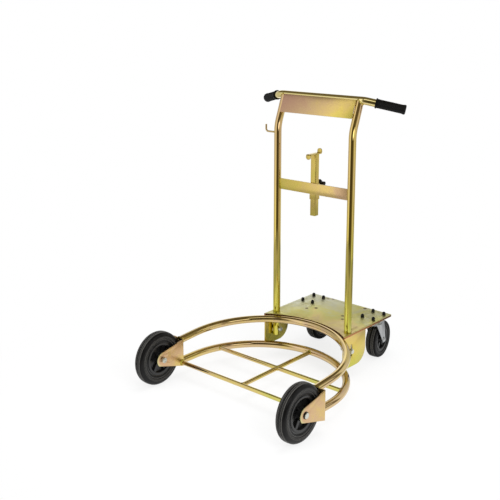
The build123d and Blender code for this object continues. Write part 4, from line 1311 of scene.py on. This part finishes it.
# %% Tent
YAW = math.radians(41.37)
TO_RIGHT = (math.cos(YAW), math.sin(YAW), 0)
TO_EYE = (math.sin(YAW), -math.cos(YAW), 0)
TENT_R = 1.75
TENT_TOP = 4.0
TENT_COLUMNS = 96
PANELS = [  # degrees to the right of the eye, brightness, height in metres
    (-180, 1.3, 1.85), (-158, 0.7, 1.6), (-130, 0.6, 1.9), (-108, 0.68, 2.5), (-95, 0.74, 2.6),
    (-85, 0.86, 2.8), (-75, 1.02, 3.2), (-64, 1.2, 3.5), (-56, 1.0, 3.5), (-48, 0.3, 2.4), (-38, 0.12, 2.0),
    (-8, 0.06, 2.0), (18, 0.1, 2.0), (30, 0.25, 2.0), (44, 0.4, 2.0), (50, 0.8, 1.9), (84, 0.85, 1.9),
    (90, 0.25, 1.9), (96, 0.25, 1.9), (102, 0.9, 1.9), (115, 0.85, 1.7), (145, 0.6, 1.5), (160, 0.7, 1.6),
    (180, 1.3, 1.85),
]
PATCHES = [  # middle and half width in degrees, bottom, top, brightness
    (-18, 28, 2.35, 5.0, 1.3), (89, 14, -0.5, 0.5, 0.25), (20, 18, 0.7, 1.5, 2.2),
]
SOFT_EDGE = 0.25        # height over which a panel fades into the ceiling
SOFT_SIDE = 6           # degrees over which a patch fades


def stage_mesh(name, corners, faces, finish):
    """A mesh of the studio, which isn't part of the trolley."""
    mesh = bpy.data.meshes.new(name)
    mesh.from_pydata(corners, [], faces)
    mesh.materials.append(finish.material)
    built = bpy.data.objects.new(name, mesh)
    scene.collection.objects.link(built)
    return built


def round_share(degrees):
    """Place of a bearing on a ramp that goes round the tent."""
    return (degrees + 180) / 360


angles = [TURN * step / TENT_COLUMNS for step in range(TENT_COLUMNS)]
tent_corners = [(TENT_R * math.cos(angle), TENT_R * math.sin(angle), z)
                for z in (0, TENT_TOP) for angle in angles]
panes = [(step, (step + 1) % TENT_COLUMNS, (step + 1) % TENT_COLUMNS + TENT_COLUMNS, step + TENT_COLUMNS)
         for step in range(TENT_COLUMNS)]
print("tent", TENT_R, "by", TENT_TOP)

# %% [markdown]
# Two ramps over the bearing give each panel's brightness and its height, and a panel fades into the
# ceiling at its top. The patches are mixed in over that. Only mirrors see the tent, so it lights nothing
# else.

# %% Tent's cloth
cloth = Finish("tent_cloth", {"Base Color": (0, 0, 0, 1), "Specular IOR Level": 0.0,
                              "Emission Strength": 1.0})
tent = stage_mesh("tent", tent_corners, panes, cloth)
for kind in ("camera", "diffuse", "transmission", "volume_scatter", "shadow"):
    setattr(tent, "visible_" + kind, False)
arms = {0: cloth.along(cloth.place, TO_RIGHT), 1: cloth.along(cloth.place, TO_EYE)}
bearing = cloth.node("ShaderNodeMath", {"operation": "ARCTAN2"}, arms) / TURN + 0.5
levels = cloth.ramp(bearing, [(round_share(angle), warm(level)) for angle, level, top in PANELS])
tops = cloth.ramp(bearing, [(round_share(angle), (top / TENT_TOP,) * 3 + (1,))
                            for angle, level, top in PANELS])
height = cloth.split(cloth.place).out("Z")
walls = cloth.mix(cloth.ease(height - tops * TENT_TOP, -SOFT_EDGE, 0), levels, CEILING)
for angle, half, bottom, top, brightness in PATCHES:
    off = abs(bearing - round_share(angle)) * 360
    inside = (1 - cloth.ease(off, half - SOFT_SIDE, half)) * cloth.ease(height, bottom, bottom + SOFT_EDGE)
    inside = inside * (1 - cloth.ease(height, top - SOFT_EDGE, top))
    walls = cloth.mix(inside, walls, warm(brightness))
cloth.feed({"Emission Color": walls})
print("tent panels", len(PANELS))

# %% [markdown]
# The floor is one large pale sheet. For the eye it fades to the white of the background, and it keeps a
# part of the shadow, as a cut-out picture on white would not show all of it. Mirrors see it bright below
# the trolley, darker round it and darkest far in front, below the deck and below the dark gap at the
# right, where the studio's light has fallen off.

# %% Floor
FLOOR_HALF = 1.8
SHADOW_SHARE = 0.2      # how much of the shadow the eye sees below the trolley
SHADOW_FADE = (0.55, 1.15)      # between these distances from the middle it fades out
FLOOR_NEAR = 0.98       # what metal sees of the floor's white below the trolley
FLOOR_ROUND = 0.52      # and round it
FLOOR_FRONT = 0.25      # and far in front of it
FLOOR_SHADE = 0.22      # and in the deck's shade, and below the dark gap at the right
ROUND_FADE = (0.55, 0.9)
FRONT_FADE = (1.1, 1.35)
SHADE_SIDE, SHADE_REAR = (0.1, 0.25), (0.08, 0.2)       # from the middle, to both sides and to the rear
GAP_FADE, GAP_SIDE, GAP_MIDDLE = (1.05, 1.2), (0.25, 0.45), 0.05
sheet = Finish("pale_floor", {"Base Color": shade(240, 240, 240), "Roughness": 0.9,
                              "Specular IOR Level": 0.0})
floor_corners = [(x * FLOOR_HALF, y * FLOOR_HALF, 0) for x, y in ((-1, -1), (1, -1), (1, 1), (-1, 1))]
stage_mesh("floor", floor_corners, [(0, 1, 2, 3)], sheet)
mirrored, seen = light_paths(sheet)
away = sheet.length(sheet.place)
to_eye = sheet.along(sheet.place, TO_EYE)
to_right = sheet.along(sheet.place, TO_RIGHT)
on_floor = sheet.split(sheet.place)
whiteness = (1 - SHADOW_SHARE) + sheet.ease(away, *SHADOW_FADE) * SHADOW_SHARE
shaded = (1 - sheet.ease(abs(on_floor), *SHADE_SIDE)) * sheet.ease(on_floor.out("Y"), *SHADE_REAR)
gap = sheet.ease(to_right, *GAP_FADE) * (1 - sheet.ease(abs(to_eye - GAP_MIDDLE), *GAP_SIDE))
mirror_floor = FLOOR_NEAR + sheet.ease(away, *ROUND_FADE) * (FLOOR_ROUND - FLOOR_NEAR)
mirror_floor = mirror_floor + sheet.ease(to_eye, *FRONT_FADE) * (FLOOR_FRONT - FLOOR_ROUND)
mirror_floor = mirror_floor + shaded.most(gap) * (FLOOR_SHADE - mirror_floor)
level = 1 - mirrored * (1 - mirror_floor)
white = sheet.node("ShaderNodeEmission", None, {"Color": level, "Strength": 1.0})
surface = sheet.node("ShaderNodeMixShader", None,
                     {0: seen * whiteness, 1: Wire(sheet, sheet.shader.outputs[0]), 2: white})
sheet.join(sheet.tree.nodes["Material Output"], {"Surface": surface})
print("floor half width", FLOOR_HALF)

# %% [markdown]
# Three soft lamps light the rubber, the plastic and the floor: a large one on the right, a weaker one on
# the left of the eye and one overhead. Metal doesn't mirror them, because the tent already has its own
# panels.

# %% Lamps
LAMPS = {  # place, aim, width and power in watts
    "right_softbox": ((2.6, -0.9, 1.9), (0.0, 0.0, 0.4), 1.8, 60),
    "left_softbox": ((-1.6, -2.8, 1.8), (0.0, 0.0, 0.5), 1.6, 38),
    "top_softbox": ((0.2, 0.3, 3.2), (0.0, 0.0, 0.0), 2.2, 50),
}
for name, (place, aim, width, power) in LAMPS.items():
    lamp = bpy.data.lights.new(name, "AREA")
    lamp.shape = "SQUARE"
    lamp.size = width
    lamp.energy = power
    holder = bpy.data.objects.new(name, lamp)
    holder.location = place
    holder.rotation_euler = (Vector(aim) - Vector(place)).to_track_quat("-Z", "Y").to_euler()
    holder.visible_glossy = False
    scene.collection.objects.link(holder)
print("lamps", len(LAMPS))

# %% [markdown]
# The camera stands where the photograph's did: to the right and in front, a little above the handle, and
# it looks down by twelve degrees. The upright tubes stay nearly parallel in the picture, so the frame is
# moved down with a small lens shift instead of more tilt.

# %% Camera
IMAGE = 500             # pixels across the picture
FOCAL_PIXELS = 851.36
OPTICAL_ROW = 190       # the row of pixels that the camera's own axis meets
PITCH = math.radians(12.09)
EYE_X, EYE_BEFORE, EYE_Z = 1.8715, 2.1658, 1.3634   # beside and before the rings' middle, above the floor
eye = bpy.data.cameras.new("photo_camera")
eye.sensor_width = 36.0
eye.lens = FOCAL_PIXELS / IMAGE * eye.sensor_width
eye.shift_y = (OPTICAL_ROW - IMAGE / 2) / IMAGE
camera = bpy.data.objects.new("photo_camera", eye)
camera.location = (EYE_X, ring_y - EYE_BEFORE, EYE_Z)
camera.rotation_euler = (math.pi / 2 - PITCH, 0, YAW)
scene.collection.objects.link(camera)
scene.camera = camera
print("lens", round(eye.lens, 2), "shift", eye.shift_y)
